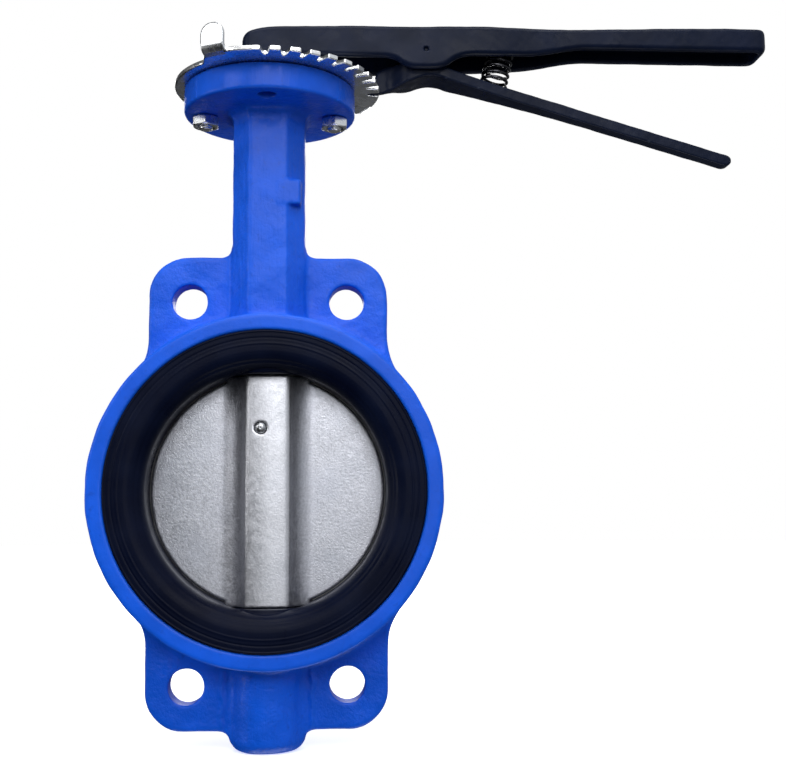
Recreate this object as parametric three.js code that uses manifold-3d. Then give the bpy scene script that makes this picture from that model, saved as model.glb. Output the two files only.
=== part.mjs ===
// A wafer butterfly valve, DN 125, PN 16, with a latching hand lever, as separate pieces.
// Millimetres. The origin is the centre of the disc.
// +Z runs up the stem, +Y along the pipe and +X along the closed lever.
import * as THREE from "three";
import { mergeVertices } from "three/addons/utils/BufferGeometryUtils.js";
import Module from "manifold-3d";

const wasm = await Module();
wasm.setup();

// Gap left between pieces that touch on the real valve.
const GAP = 0.3;

// Pipe ring
const FACE_TO_FACE = 56;
const FACE = FACE_TO_FACE / 2;
const RING_RADIUS = 88.3;
const RING_DRAFT = 0.5;
const LINER_OUTER_RADIUS = 70;
const LIP_RADIUS = 79.4;
const LIP_THICKNESS = 4.3;
const LIP_PROUD = 1;

// Bolt lugs: four holes of a PN 16 flange circle
const BOLT_CIRCLE = 210;
const BOLT_HOLE_RADIUS = 9;
const BOLT_X = (BOLT_CIRCLE / 2) * Math.sin(Math.PI / 8);
const BOLT_Z = (BOLT_CIRCLE / 2) * Math.cos(Math.PI / 8);
const LUG_THICKNESS = 14;
const LUG_HALF_WIDTH = 61.3;
const LOWER_LUG_HALF_WIDTH = 60.6;
const LUG_TOP = 120.6;
const LUG_BOTTOM = -118.9;
const LUG_CORNER = 20;

// Neck, top flange and foot
const NECK_HALF_WIDTH = 18.6;
const NECK_FLAT = 9.6;
const NECK_SIDE = 9;
const PAD = { left: 6, right: 16.5, bottom: 146, top: 159.2, proud: 0.2 };
const FLANGE_RADIUS = 45;
const FLANGE_BOTTOM = 197.5;
const FLANGE_TOP = 211;
const FLANGE_BOLT_RADIUS = 34;
const FLANGE_HOLE_RADIUS = 4.5;
const FOOT_RADIUS = 18.4;
const FOOT_BOTTOM = -129;

// Stem and what it runs in
const STEM_RADIUS = 9.5;
const STEM_BOTTOM = -119.4;
const STEM_SQUARE = 14;
const STEM_SQUARE_BOTTOM = 214;
const STEM_TOP = 233;
const BUSH_BORE = STEM_RADIUS + GAP;
const BUSH_RADIUS = 11.9;
const BORE_RADIUS = BUSH_RADIUS + GAP;
const NECK_BUSH_UPPER = [181, 202.7];
const NECK_BUSH_LOWER = [92.4, 112];
const FOOT_BUSH = [-118, -96];
const RING_HEIGHTS = { upper: 179.4, lower: 113.6, foot: -94.4 };
const RETAINER_FLOOR = 203;
const RETAINER_BORE = 16.2;
const GROOVE = [203.4, 206];
const GROOVE_RADIUS = 8;
const SPLIT_RING = [GROOVE[0] + GAP, GROOVE[1] - GAP];
const SPLIT_RING_RADIUS = 15;
const CLIP = [206.4, 207.8];
const CLIP_BORE = 12.8;
const CLIP_RADIUS = 17;

// Disc
const DISC_RADIUS = 59.6;
const DISC_BORE = 60;
const DISC_HUB_RADIUS = 14;
const DISC_HALF_THICKNESS = 4.5;
const DISC_RIM_HALF_THICKNESS = 3.8;
const DISC_FILLET = 14.3;
const DISC_FILLET_ANGLE = 60;
const HUB_FOOT = 24;
const HUB_END = 58.2;
const HUB_END_RADIUS = 22;
const PIN_X = -3.5;
const PIN_Z = 31.5;
const PIN_RADIUS = 3;
const PIN_LENGTH = 28.2;

// Notch plate
const PLATE_BOTTOM = FLANGE_TOP + GAP;
const PLATE_THICKNESS = 2.5;
const PLATE_TOP = PLATE_BOTTOM + PLATE_THICKNESS;
const PLATE_BACK_RADIUS = 50;
const PLATE_RIM_RADIUS = 58.2;
const NOTCH_COUNT = 10;
const NOTCH_PITCH = 90 / (NOTCH_COUNT - 1);
const NOTCH_ROOT_RADIUS = 51.6;
const NOTCH_MOUTH = 4.6;
const NOTCH_FLOOR = 2.6;
const PLATE_HOLE_RADIUS = 13;
const TAB_OFFSET = 25.6;
const TAB_WIDTH = 12.5;
const TAB_HEIGHT = 15;
const TAB_FACE_RADIUS = 60.5;
const TAB_BEND = 5;

// M8 fasteners
const M8_SHANK = 3.9;
const M8_HOLE = 4.2;
const M8_FLATS = 13;
const M8_HEAD = 5.3;
const M8_WASHER_RADIUS = 8;
const M8_WASHER_THICKNESS = 1.6;
const NUT_HEIGHT = 5;
const STUD_END = 1.8;
const NUT_TURN = 27;

// Handle: an upside-down channel
const HANDLE_HALF_WIDTH = 15.3;
const HANDLE_LEFT = -15.2;
const HANDLE_RIGHT = 269;
const HANDLE_TOP = 244;
const HANDLE_WALL_BOTTOM = 227;
const GRIP_HALF_WIDTH = 12;
const GRIP_TOP = 247.5;
const GRIP_DIP = 245.6;
const GRIP_ROOF = 242.5;
const GRIP_BOTTOM = 234.6;
const HANDLE_WALL = 4;
const HOLLOW_LEFT = 17;
const SOCKET_RADIUS = 15;
const SOCKET_BOTTOM = 215.6;
const SCREW_SEAT = 238;
const SCREW_RECESS_RADIUS = 11;
const SCREW_END = 216;

// Trigger lever, pivoted in the handle's ears
const PIVOT_X = 82.5;
const PIVOT_Z = 231.2;
const PIVOT_PIN_RADIUS = 3;
const PAWL_END = PLATE_RIM_RADIUS + 0.7;
const TRIGGER_HUB_HALF_WIDTH = 9.5;
const TRIGGER_HUB_RADIUS = 7;

// Return spring, from the trigger lever up to the handle's web
const SPRING_FOOT = new THREE.Vector3(120, 0, 218.1);
const SPRING_HEAD = new THREE.Vector3(124.8, 0, 238.6);
const SPRING_RADIUS = 6.8;
const SPRING_WIRE = 0.9;
const SPRING_TURNS = 6.5;

const finish = (color, roughness, metalness) =>
  new THREE.MeshStandardMaterial({ color, roughness, metalness });
const bluePaint = finish(0x1f4fdc, 0.4, 0);
const blackPaint = finish(0x14161f, 0.35, 0);
const rubber = finish(0x0b0c12, 0.5, 0);
const zincPlate = finish(0xc8ccd2, 0.3, 1);
const castPlated = finish(0xa9adb0, 0.45, 1);
const steel = finish(0x9a9da3, 0.35, 1);
const bronze = finish(0xa87a3c, 0.4, 1);

const radians = THREE.MathUtils.degToRad;

// ---- solids: a closed geometry in, a closed geometry out ----

function toSolid(geometry) {
  const bare = geometry.clone();
  bare.deleteAttribute("normal");
  bare.deleteAttribute("uv");
  const merged = mergeVertices(bare, 1e-4);
  const corners = merged.index.array;
  const kept = [];
  for (let i = 0; i < corners.length; i += 3) {
    const [a, b, c] = corners.slice(i, i + 3);
    if (a !== b && b !== c && c !== a) kept.push(a, b, c);
  }
  const vertProperties = merged.attributes.position.array;
  return new wasm.Manifold(new wasm.Mesh({ numProp: 3, vertProperties, triVerts: new Uint32Array(kept) }));
}

function toGeometry(solid) {
  const mesh = solid.getMesh();
  const geometry = new THREE.BufferGeometry();
  geometry.setAttribute("position", new THREE.BufferAttribute(mesh.vertProperties, 3));
  geometry.setIndex(new THREE.BufferAttribute(mesh.triVerts, 1));
  return geometry;
}

const join = (...shapes) => toGeometry(shapes.map(toSolid).reduce((whole, next) => whole.add(next)));
const cut = (shape, ...tools) =>
  toGeometry(tools.map(toSolid).reduce((left, tool) => left.subtract(tool), toSolid(shape)));
const common = (one, other) => toGeometry(toSolid(one).intersect(toSolid(other)));

// A round bar along Z.
function post(radius, low, high, x = 0, y = 0, sides = 32) {
  const bar = new THREE.CylinderGeometry(radius, radius, high - low, sides);
  bar.rotateX(Math.PI / 2);
  return bar.translate(x, y, (low + high) / 2);
}

// A round bar along Y.
function drum(radius, front, back, x = 0, z = 0, sides = 32) {
  const bar = new THREE.CylinderGeometry(radius, radius, back - front, sides);
  return bar.translate(x, (front + back) / 2, z);
}

function block(low, high) {
  const size = high.map((value, i) => value - low[i]);
  const box = new THREE.BoxGeometry(...size);
  return box.translate(...high.map((value, i) => (value + low[i]) / 2));
}

// A hexagonal bar along Z. Unturned, two of its flats face -Y and +Y.
function hexagon(flats, low, high, x, turn = 0) {
  const bar = new THREE.CylinderGeometry(flats / Math.sqrt(3), flats / Math.sqrt(3), high - low, 6);
  bar.rotateX(Math.PI / 2);
  bar.rotateZ(Math.PI / 2 - radians(turn));
  return bar.translate(x, 0, (low + high) / 2);
}

// A profile of [radius, height] points, turned about Z. It runs outwards along the bottom first.
function turned(profile, sides = 48) {
  const points = profile.map(([radius, height]) => new THREE.Vector2(radius, height));
  const body = new THREE.LatheGeometry(points, sides);
  return body.rotateX(Math.PI / 2);
}

// The same about Y: the points are [radius, y].
function turnedAlongPipe(profile, sides) {
  return new THREE.LatheGeometry(profile.map(([radius, y]) => new THREE.Vector2(radius, y)), sides);
}

// A ring about Z with a square section.
const sleeve = (bore, radius, low, high, sides = 28) =>
  turned([[bore, low], [radius, low], [radius, high], [bore, high], [bore, low]], sides);

// An outline in X and Y, raised from z = low to z = high.
function slab(outline, low, high, curveSegments = 6) {
  const depth = high - low;
  const body = new THREE.ExtrudeGeometry(outline, { depth, bevelEnabled: false, curveSegments });
  return body.translate(0, 0, low);
}

// An outline in X and Z, from y = front to y = back.
function upright(outline, front, back, curveSegments = 6) {
  const depth = back - front;
  const body = new THREE.ExtrudeGeometry(outline, { depth, bevelEnabled: false, curveSegments });
  body.rotateX(Math.PI / 2);
  return body.translate(0, back, 0);
}

const polygon = (points) => new THREE.Shape(points.map(([x, y]) => new THREE.Vector2(x, y)));

// ---- pipe side: body casting, liner, disc ----

// The plate that carries the four lugs, seen along the pipe. One side is drawn, and the other mirrors it.
function lugOutline() {
  const outline = new THREE.Shape();
  const w = LUG_HALF_WIDTH;
  const v = LOWER_LUG_HALF_WIDTH;
  const c = LUG_CORNER;
  const n = NECK_HALF_WIDTH;
  const f = FOOT_RADIUS;
  outline.moveTo(75, -45);
  outline.lineTo(75, 45);
  outline.quadraticCurveTo(w + 0.5, 63, w, 78);
  outline.lineTo(w, LUG_TOP - c);
  outline.absarc(w - c, LUG_TOP - c, c, 0, Math.PI / 2, false);
  outline.lineTo(n + 6, LUG_TOP);
  outline.quadraticCurveTo(n + 1, LUG_TOP + 0.5, n, LUG_TOP + 5);
  outline.lineTo(-n, LUG_TOP + 5);
  outline.quadraticCurveTo(-n - 1, LUG_TOP + 0.5, -n - 6, LUG_TOP);
  outline.lineTo(c - w, LUG_TOP);
  outline.absarc(c - w, LUG_TOP - c, c, Math.PI / 2, Math.PI, false);
  outline.lineTo(-w, 78);
  outline.quadraticCurveTo(-w - 0.5, 63, -75, 45);
  outline.lineTo(-75, -45);
  outline.quadraticCurveTo(-v - 0.5, -63, -v, -78);
  outline.lineTo(-v, LUG_BOTTOM + c);
  outline.absarc(c - v, LUG_BOTTOM + c, c, Math.PI, 1.5 * Math.PI, false);
  outline.lineTo(-f - 6, LUG_BOTTOM);
  outline.quadraticCurveTo(-f - 1, LUG_BOTTOM - 0.5, -f + 1, LUG_BOTTOM - 4);
  outline.lineTo(f - 1, LUG_BOTTOM - 4);
  outline.quadraticCurveTo(f + 1, LUG_BOTTOM - 0.5, f + 6, LUG_BOTTOM);
  outline.lineTo(v - c, LUG_BOTTOM);
  outline.absarc(v - c, LUG_BOTTOM + c, c, 1.5 * Math.PI, 2 * Math.PI, false);
  outline.lineTo(v, -78);
  outline.quadraticCurveTo(v + 0.5, -63, 75, -45);
  return outline;
}

// Flat front and back, chamfered corners.
function neckOutline() {
  const w = NECK_HALF_WIDTH;
  const f = NECK_FLAT;
  const s = NECK_SIDE;
  return polygon([[f, -w], [w, -s], [w, s], [f, w], [-f, w], [-w, s], [-w, -s], [-f, -w]]);
}

function bodyCasting() {
  const edge = RING_RADIUS - RING_DRAFT;
  const ring = turnedAlongPipe([[0, -FACE], [edge, -FACE], [RING_RADIUS, 0], [edge, FACE], [0, FACE]], 60);
  const foot = turned([[0, FOOT_BOTTOM], [FOOT_RADIUS - 6, FOOT_BOTTOM], [FOOT_RADIUS - 2, FOOT_BOTTOM + 1.6],
    [FOOT_RADIUS, FOOT_BOTTOM + 6], [FOOT_RADIUS, -60], [0, -60]], 32);
  const blank = join(
    ring,
    upright(lugOutline(), -LUG_THICKNESS / 2, LUG_THICKNESS / 2),
    slab(neckOutline(), 60, FLANGE_BOTTOM + 1),
    block([PAD.left, -NECK_HALF_WIDTH - PAD.proud, PAD.bottom], [PAD.right, -NECK_SIDE, PAD.top]),
    post(FLANGE_RADIUS, FLANGE_BOTTOM, FLANGE_TOP, 0, 0, 48),
    foot,
  );
  const flangeHoles = [0, 1, 2, 3].map((quarter) => {
    const angle = (quarter * Math.PI) / 2;
    const x = FLANGE_BOLT_RADIUS * Math.cos(angle);
    const y = FLANGE_BOLT_RADIUS * Math.sin(angle);
    return post(FLANGE_HOLE_RADIUS, FLANGE_BOTTOM - 1, FLANGE_TOP + 1, x, y, 20);
  });
  const lugHoles = [[1, 1], [-1, 1], [-1, -1], [1, -1]].map(([side, end]) =>
    drum(BOLT_HOLE_RADIUS, -LUG_THICKNESS, LUG_THICKNESS, side * BOLT_X, end * BOLT_Z, 28));
  const recess = LIP_RADIUS + GAP;
  const recessFloor = FACE - LIP_THICKNESS;
  return cut(
    blank,
    drum(LINER_OUTER_RADIUS + GAP, -FACE - 1, FACE + 1, 0, 0, 60),
    drum(recess, -FACE - 1, -recessFloor, 0, 0, 60),
    drum(recess, recessFloor, FACE + 1, 0, 0, 60),
    post(BUSH_BORE, 60, NECK_BUSH_LOWER[0]),
    post(BORE_RADIUS, NECK_BUSH_LOWER[0] - GAP, RETAINER_FLOOR + 1),
    post(RETAINER_BORE, RETAINER_FLOOR, FLANGE_TOP + 1),
    post(CLIP_RADIUS + GAP, CLIP[0] - GAP, CLIP[1] + GAP),
    post(BORE_RADIUS, STEM_BOTTOM - 1.6, -60),
    ...flangeHoles,
    ...lugHoles,
  );
}

// Rounded from the disc's bore out to the flat lips, which stand a little proud of the ring's faces.
// A round flat at the top and the bottom of the bore seals against each end of the disc's hub.
function seatLiner() {
  const outside = FACE + LIP_PROUD;
  const lipBack = FACE - LIP_THICKNESS + GAP;
  const shoulder = 10;
  const steps = 4;
  const round = [];
  for (let i = 0; i <= steps; i++) {
    const angle = (i / steps) * (Math.PI / 2);
    round.push([DISC_BORE + shoulder * (1 - Math.cos(angle)), outside - shoulder * (1 - Math.sin(angle))]);
  }
  const back = [
    [LINER_OUTER_RADIUS, 0], [LINER_OUTER_RADIUS, lipBack], [LIP_RADIUS, lipBack],
    [LIP_RADIUS, outside - 0.8], [LIP_RADIUS - 0.8, outside], ...round.slice().reverse(),
  ];
  const front = back.map(([radius, y]) => [radius, -y]).reverse();
  const flat = HUB_END + GAP;
  const radius = HUB_END_RADIUS + GAP;
  const padded = join(
    turnedAlongPipe([...front, ...back, front[0]], 54),
    post(radius, flat, flat + 4),
    post(radius, -flat - 4, -flat),
  );
  return cut(padded, post(radius, -flat, flat), post(BUSH_BORE, -80, 80, 0, 0, 28));
}

// Section across the stem: a hub with a flattened front, concave fillets and thin wings.
function discOutline() {
  const quarter = [[DISC_RADIUS + 2, DISC_RIM_HALF_THICKNESS]];
  const steps = 6;
  for (let i = 0; i <= steps; i++) {
    const angle = radians((DISC_FILLET_ANGLE * i) / steps);
    const rise = DISC_FILLET * (1 - Math.cos(angle));
    quarter.push([HUB_FOOT - DISC_FILLET * Math.sin(angle), DISC_HALF_THICKNESS + rise]);
  }
  const front = DISC_HUB_RADIUS;
  quarter.push([10.2, front - 1], [8.2, front - 0.6], [4.2, front - 0.15]);
  const mirrored = quarter.map(([x, y]) => [-x, y]).reverse();
  const half = [...quarter, [0, front], ...mirrored];
  return polygon([...half, ...half.map(([x, y]) => [x, -y]).reverse()]);
}

// The section is kept within the ball that the rim turns in; the hub's ends are flat.
function disc() {
  const ball = new THREE.SphereGeometry(DISC_RADIUS, 48, 24).rotateX(Math.PI / 2);
  const room = join(ball, post(HUB_END_RADIUS, -HUB_END, HUB_END, 0, 0, 48));
  return cut(
    common(slab(discOutline(), -HUB_END, HUB_END), room),
    post(BUSH_BORE, -70, 70, 0, 0, 28),
    drum(PIN_RADIUS + GAP, -20, 20, PIN_X, PIN_Z, 16),
  );
}

function discPin() {
  const pin = new THREE.CylinderGeometry(PIN_RADIUS - GAP, PIN_RADIUS, PIN_LENGTH, 16);
  return pin.translate(PIN_X, -GAP, PIN_Z);
}

// ---- stem and its bearings ----

// Round bar with a groove for the split ring, a square top and a tapped hole for the handle screw.
function stem() {
  const bar = turned([
    [0, STEM_BOTTOM], [STEM_RADIUS - 1, STEM_BOTTOM], [STEM_RADIUS, STEM_BOTTOM + 1],
    [STEM_RADIUS, GROOVE[0]], [GROOVE_RADIUS, GROOVE[0]],
    [GROOVE_RADIUS, GROOVE[1]], [STEM_RADIUS, GROOVE[1]],
    [STEM_RADIUS, STEM_SQUARE_BOTTOM], [0, STEM_SQUARE_BOTTOM],
  ], 32);
  const half = STEM_SQUARE / 2;
  const square = common(
    block([-half, -half, STEM_SQUARE_BOTTOM - 1], [half, half, STEM_TOP]),
    post(STEM_RADIUS - 0.2, STEM_SQUARE_BOTTOM - 2, STEM_TOP + 1),
  );
  return cut(
    join(bar, square),
    post(M8_HOLE, SCREW_END - 4, STEM_TOP + 1, 0, 0, 20),
    drum(PIN_RADIUS + GAP, -20, 20, PIN_X, PIN_Z, 16),
  );
}

const bush = ([low, high]) => sleeve(BUSH_BORE, BUSH_RADIUS, low, high);

function oRing(height) {
  const section = (BORE_RADIUS - STEM_RADIUS) / 2 - GAP;
  const ring = new THREE.TorusGeometry((BORE_RADIUS + STEM_RADIUS) / 2, section, 6, 20);
  return ring.translate(0, 0, height);
}

// A U-shaped plate, pushed into the stem's groove from the side.
function splitRing() {
  const slot = GROOVE_RADIUS + GAP;
  const [low, high] = SPLIT_RING;
  return cut(
    post(SPLIT_RING_RADIUS, low, high),
    post(slot, low - 1, high + 1),
    block([-slot, 0, low - 1], [slot, SPLIT_RING_RADIUS + 1, high + 1]),
  );
}

function neckCirclip() {
  const [low, high] = CLIP;
  const opening = block([-4, 0, low - 1], [4, CLIP_RADIUS + 1, high + 1]);
  return cut(sleeve(CLIP_BORE, CLIP_RADIUS, low, high), opening);
}

// ---- notch plate and its fasteners ----

// A point of the plate's rim; the angle runs from -Y, the open side, towards +X, the closed side.
const rimPoint = (angle, radius) => [radius * Math.sin(radians(angle)), -radius * Math.cos(radians(angle))];

function rimArc(from, to, radius, step = 4) {
  const count = Math.max(1, Math.round((to - from) / step));
  return Array.from({ length: count + 1 }, (_, i) => rimPoint(from + ((to - from) * i) / count, radius));
}

function notchPoints(angle) {
  const half = NOTCH_MOUTH / 2;
  const root = NOTCH_FLOOR / 2;
  return [
    rimPoint(angle - half, PLATE_RIM_RADIUS), rimPoint(angle - root, NOTCH_ROOT_RADIUS + 0.8),
    rimPoint(angle - root / 2, NOTCH_ROOT_RADIUS), rimPoint(angle + root / 2, NOTCH_ROOT_RADIUS),
    rimPoint(angle + root, NOTCH_ROOT_RADIUS + 0.8), rimPoint(angle + half, PLATE_RIM_RADIUS),
  ];
}

// A stop for the handle, bent up from the rim about its foot.
function stopTab(angle) {
  const inner = TAB_FACE_RADIUS - PLATE_THICKNESS;
  const top = PLATE_BOTTOM + TAB_HEIGHT;
  const foot = TAB_FACE_RADIUS - TAB_BEND;
  const section = new THREE.Shape();
  section.moveTo(foot - 5, PLATE_BOTTOM);
  section.lineTo(foot, PLATE_BOTTOM);
  section.absarc(foot, PLATE_BOTTOM + TAB_BEND, TAB_BEND, -Math.PI / 2, 0, false);
  section.lineTo(TAB_FACE_RADIUS, top);
  section.lineTo(inner, top);
  section.lineTo(inner, PLATE_BOTTOM + TAB_BEND);
  section.absarc(foot, PLATE_BOTTOM + TAB_BEND, TAB_BEND - PLATE_THICKNESS, 0, -Math.PI / 2, true);
  section.lineTo(foot - 5, PLATE_TOP);
  const strip = upright(section, -TAB_WIDTH / 2, TAB_WIDTH / 2, 4);
  const corner = 5.5;
  const half = TAB_WIDTH / 2;
  const face = new THREE.Shape();
  face.moveTo(-half, PLATE_BOTTOM - 1);
  face.lineTo(half, PLATE_BOTTOM - 1);
  face.lineTo(half, top - corner);
  face.absarc(half - corner, top - corner, corner, 0, Math.PI / 2, false);
  face.absarc(corner - half, top - corner, corner, Math.PI / 2, Math.PI, false);
  const cutter = upright(face, -80, -20, 5);
  cutter.rotateZ(Math.PI / 2);
  const tab = common(strip, cutter);
  return tab.rotateZ(radians(angle - 90));
}

function notchPlate() {
  const tabZone = TAB_OFFSET + 7.5;
  const tabStart = TAB_OFFSET - 6.5;
  const tabRadius = TAB_FACE_RADIUS - TAB_BEND;
  const points = [...rimArc(-tabZone, -tabStart, tabRadius), ...rimArc(-tabStart, -5, PLATE_RIM_RADIUS)];
  for (let i = 0; i < NOTCH_COUNT; i++) points.push(...notchPoints(i * NOTCH_PITCH));
  points.push(...rimArc(95, 90 + tabStart, PLATE_RIM_RADIUS));
  points.push(...rimArc(90 + tabStart, 90 + tabZone, tabRadius));
  points.push(...rimArc(90 + tabZone + 6, 360 - tabZone - 6, PLATE_BACK_RADIUS, 6));
  const outline = polygon(points);
  const centreHole = new THREE.Path();
  centreHole.absarc(0, 0, PLATE_HOLE_RADIUS, 0, 2 * Math.PI, true);
  outline.holes.push(centreHole);
  for (const side of [-1, 1]) {
    const hole = new THREE.Path();
    hole.absarc(side * FLANGE_BOLT_RADIUS, 0, FLANGE_HOLE_RADIUS, 0, 2 * Math.PI, true);
    outline.holes.push(hole);
  }
  return join(slab(outline, PLATE_BOTTOM, PLATE_TOP, 12), stopTab(-TAB_OFFSET), stopTab(90 + TAB_OFFSET));
}

function plateBolt(x) {
  const seat = PLATE_TOP + GAP;
  return join(
    hexagon(M8_FLATS, seat, seat + M8_HEAD, x),
    post(M8_SHANK, FLANGE_BOTTOM - NUT_HEIGHT - STUD_END, seat + 1, x, 0, 20),
  );
}

function plateNut(x) {
  const top = FLANGE_BOTTOM - GAP;
  const blank = hexagon(M8_FLATS, top - NUT_HEIGHT, top, x, NUT_TURN);
  return cut(blank, post(M8_HOLE, top - 10, top + 1, x, 0, 20));
}

// ---- handle ----

// Half-width of the handle along X, shared by its outside and its hollow.
function handlePlan(inset) {
  const wide = HANDLE_HALF_WIDTH - inset;
  const slim = GRIP_HALF_WIDTH - inset;
  const left = inset ? HOLLOW_LEFT : HANDLE_LEFT;
  const right = HANDLE_RIGHT - inset;
  const near = inset ? 1 : 5.5;
  const far = 6.5 - inset / 2;
  const outline = new THREE.Shape();
  outline.moveTo(left + near, -wide);
  outline.lineTo(100, -wide);
  outline.bezierCurveTo(125, -wide, 135, -slim, 165, -slim);
  outline.lineTo(right - far, -slim);
  outline.absarc(right - far, far - slim, far, -Math.PI / 2, 0, false);
  outline.absarc(right - far, slim - far, far, 0, Math.PI / 2, false);
  outline.lineTo(165, slim);
  outline.bezierCurveTo(135, slim, 125, wide, 100, wide);
  outline.lineTo(left + near, wide);
  outline.absarc(left + near, wide - near, near, Math.PI / 2, Math.PI, false);
  outline.absarc(left + near, near - wide, near, Math.PI, 1.5 * Math.PI, false);
  return outline;
}

// The side view: walls, the ears round the pivot, the rise to the grip and its rounded end.
function handleSide() {
  const end = 3.5;
  const outline = new THREE.Shape();
  outline.moveTo(HANDLE_LEFT, HANDLE_WALL_BOTTOM);
  outline.lineTo(60, HANDLE_WALL_BOTTOM);
  outline.quadraticCurveTo(66, HANDLE_WALL_BOTTOM - 0.3, 69, 223.8);
  outline.quadraticCurveTo(73, 221.3, 77, 221.3);
  outline.lineTo(86, 221.3);
  outline.quadraticCurveTo(92, 221.6, 95.5, 224.5);
  outline.quadraticCurveTo(100, 228.6, 108, 228.8);
  outline.lineTo(133, 229.6);
  outline.bezierCurveTo(148, 230.2, 158, GRIP_BOTTOM, 172, GRIP_BOTTOM);
  outline.absarc(HANDLE_RIGHT - end, GRIP_BOTTOM + end, end, -Math.PI / 2, 0, false);
  outline.absarc(HANDLE_RIGHT - end, GRIP_TOP - end, end, 0, Math.PI / 2, false);
  outline.lineTo(240, GRIP_TOP);
  outline.quadraticCurveTo(222, GRIP_TOP - 0.2, 172, GRIP_DIP);
  outline.bezierCurveTo(145, GRIP_DIP - 0.8, 112, GRIP_DIP - 0.1, 80, HANDLE_TOP);
  outline.lineTo(45, HANDLE_TOP);
  outline.lineTo(8, HANDLE_TOP - 0.9);
  outline.quadraticCurveTo(HANDLE_LEFT + 1, HANDLE_TOP - 1.4, HANDLE_LEFT, HANDLE_WALL_BOTTOM + 8);
  return outline;
}

function handleHollow() {
  const roof = new THREE.Shape();
  roof.moveTo(0, 200);
  roof.lineTo(HANDLE_RIGHT, 200);
  roof.lineTo(HANDLE_RIGHT, GRIP_ROOF);
  roof.lineTo(150, GRIP_ROOF);
  roof.lineTo(85, HANDLE_TOP - HANDLE_WALL);
  roof.lineTo(0, HANDLE_TOP - HANDLE_WALL);
  return common(slab(handlePlan(HANDLE_WALL), 190, 250), upright(roof, -30, 30));
}

function handle() {
  const outside = common(slab(handlePlan(0), 200, 260), upright(handleSide(), -30, 30));
  const socket = STEM_SQUARE / 2 + GAP;
  return cut(
    join(cut(outside, handleHollow()), post(SOCKET_RADIUS, SOCKET_BOTTOM, HANDLE_WALL_BOTTOM + 2)),
    block([-socket, -socket, SOCKET_BOTTOM - 1], [socket, socket, STEM_TOP + GAP]),
    post(FLANGE_HOLE_RADIUS, STEM_TOP - 1, SCREW_SEAT + 1, 0, 0, 20),
    post(SCREW_RECESS_RADIUS, SCREW_SEAT, HANDLE_TOP + 1, 0, 0, 28),
    drum(PIVOT_PIN_RADIUS + GAP, -20, 20, PIVOT_X, PIVOT_Z, 24),
  );
}

function handleWasher() {
  const low = SCREW_SEAT + GAP;
  return sleeve(M8_HOLE, M8_WASHER_RADIUS, low, low + M8_WASHER_THICKNESS);
}

function handleScrew() {
  const seat = SCREW_SEAT + 2 * GAP + M8_WASHER_THICKNESS;
  return join(hexagon(M8_FLATS, seat, seat + M8_HEAD, 0), post(M8_SHANK, SCREW_END, seat + 1, 0, 0, 20));
}

function pivotPin() {
  const end = HANDLE_HALF_WIDTH - 0.2;
  return drum(PIVOT_PIN_RADIUS, -end, end, PIVOT_X, PIVOT_Z, 24);
}

// ---- trigger lever and its spring ----

// Side view of the bar, from the pawl nose on the left to the tail, and back along its top to the tall pawl.
function triggerSide() {
  const outline = new THREE.Shape();
  outline.moveTo(PAWL_END, 212);
  outline.lineTo(75.8, 216.7);
  outline.quadraticCurveTo(85.6, 221.2, 93.8, 217.3);
  outline.lineTo(157, 199.4);
  outline.lineTo(244, 173.5);
  outline.quadraticCurveTo(249.3, 173.3, 248, 177.6);
  outline.quadraticCurveTo(247, 179.2, 243, 180);
  outline.lineTo(155, 206.4);
  outline.lineTo(105.7, 220);
  outline.lineTo(93, 224);
  outline.lineTo(75.5, 227);
  outline.lineTo(65, 224.2);
  outline.quadraticCurveTo(60.6, 223, 60.3, 219);
  outline.lineTo(PAWL_END, 214.6);
  return outline;
}

// Top view: a narrow pawl, a hub as wide as the handle's hollow, a tapering tail.
function triggerPlan() {
  const outline = new THREE.Shape();
  const hub = TRIGGER_HUB_HALF_WIDTH;
  outline.moveTo(PAWL_END, -1.7);
  outline.bezierCurveTo(68, -2.2, 68, -hub, 76, -hub);
  outline.lineTo(95, -hub);
  outline.bezierCurveTo(120, -6.5, 130, -5, 170, -4.3);
  outline.lineTo(250, -4);
  outline.lineTo(250, 4);
  outline.lineTo(170, 4.3);
  outline.bezierCurveTo(130, 5, 120, 6.5, 95, hub);
  outline.lineTo(76, hub);
  outline.bezierCurveTo(68, hub, 68, 2.2, PAWL_END, 1.7);
  return outline;
}

function triggerLever() {
  const bar = common(slab(triggerPlan(), 160, 245), upright(triggerSide(), -20, 20));
  const hub = join(
    drum(TRIGGER_HUB_RADIUS, -TRIGGER_HUB_HALF_WIDTH, TRIGGER_HUB_HALF_WIDTH, PIVOT_X, PIVOT_Z, 28),
    block(
      [PIVOT_X - TRIGGER_HUB_RADIUS, -TRIGGER_HUB_HALF_WIDTH, 222],
      [PIVOT_X + TRIGGER_HUB_RADIUS, TRIGGER_HUB_HALF_WIDTH, PIVOT_Z],
    ),
  );
  return cut(join(bar, hub), drum(PIVOT_PIN_RADIUS + GAP, -20, 20, PIVOT_X, PIVOT_Z, 24));
}

class SpringWire extends THREE.Curve {
  getPoint(t, target = new THREE.Vector3()) {
    const along = new THREE.Vector3().subVectors(SPRING_HEAD, SPRING_FOOT);
    const across = new THREE.Vector3(along.z, 0, -along.x).normalize();
    const angle = 2 * Math.PI * SPRING_TURNS * t;
    target.copy(SPRING_FOOT).addScaledVector(along, t);
    target.addScaledVector(across, SPRING_RADIUS * Math.cos(angle));
    target.y += SPRING_RADIUS * Math.sin(angle);
    return target;
  }
}

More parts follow.
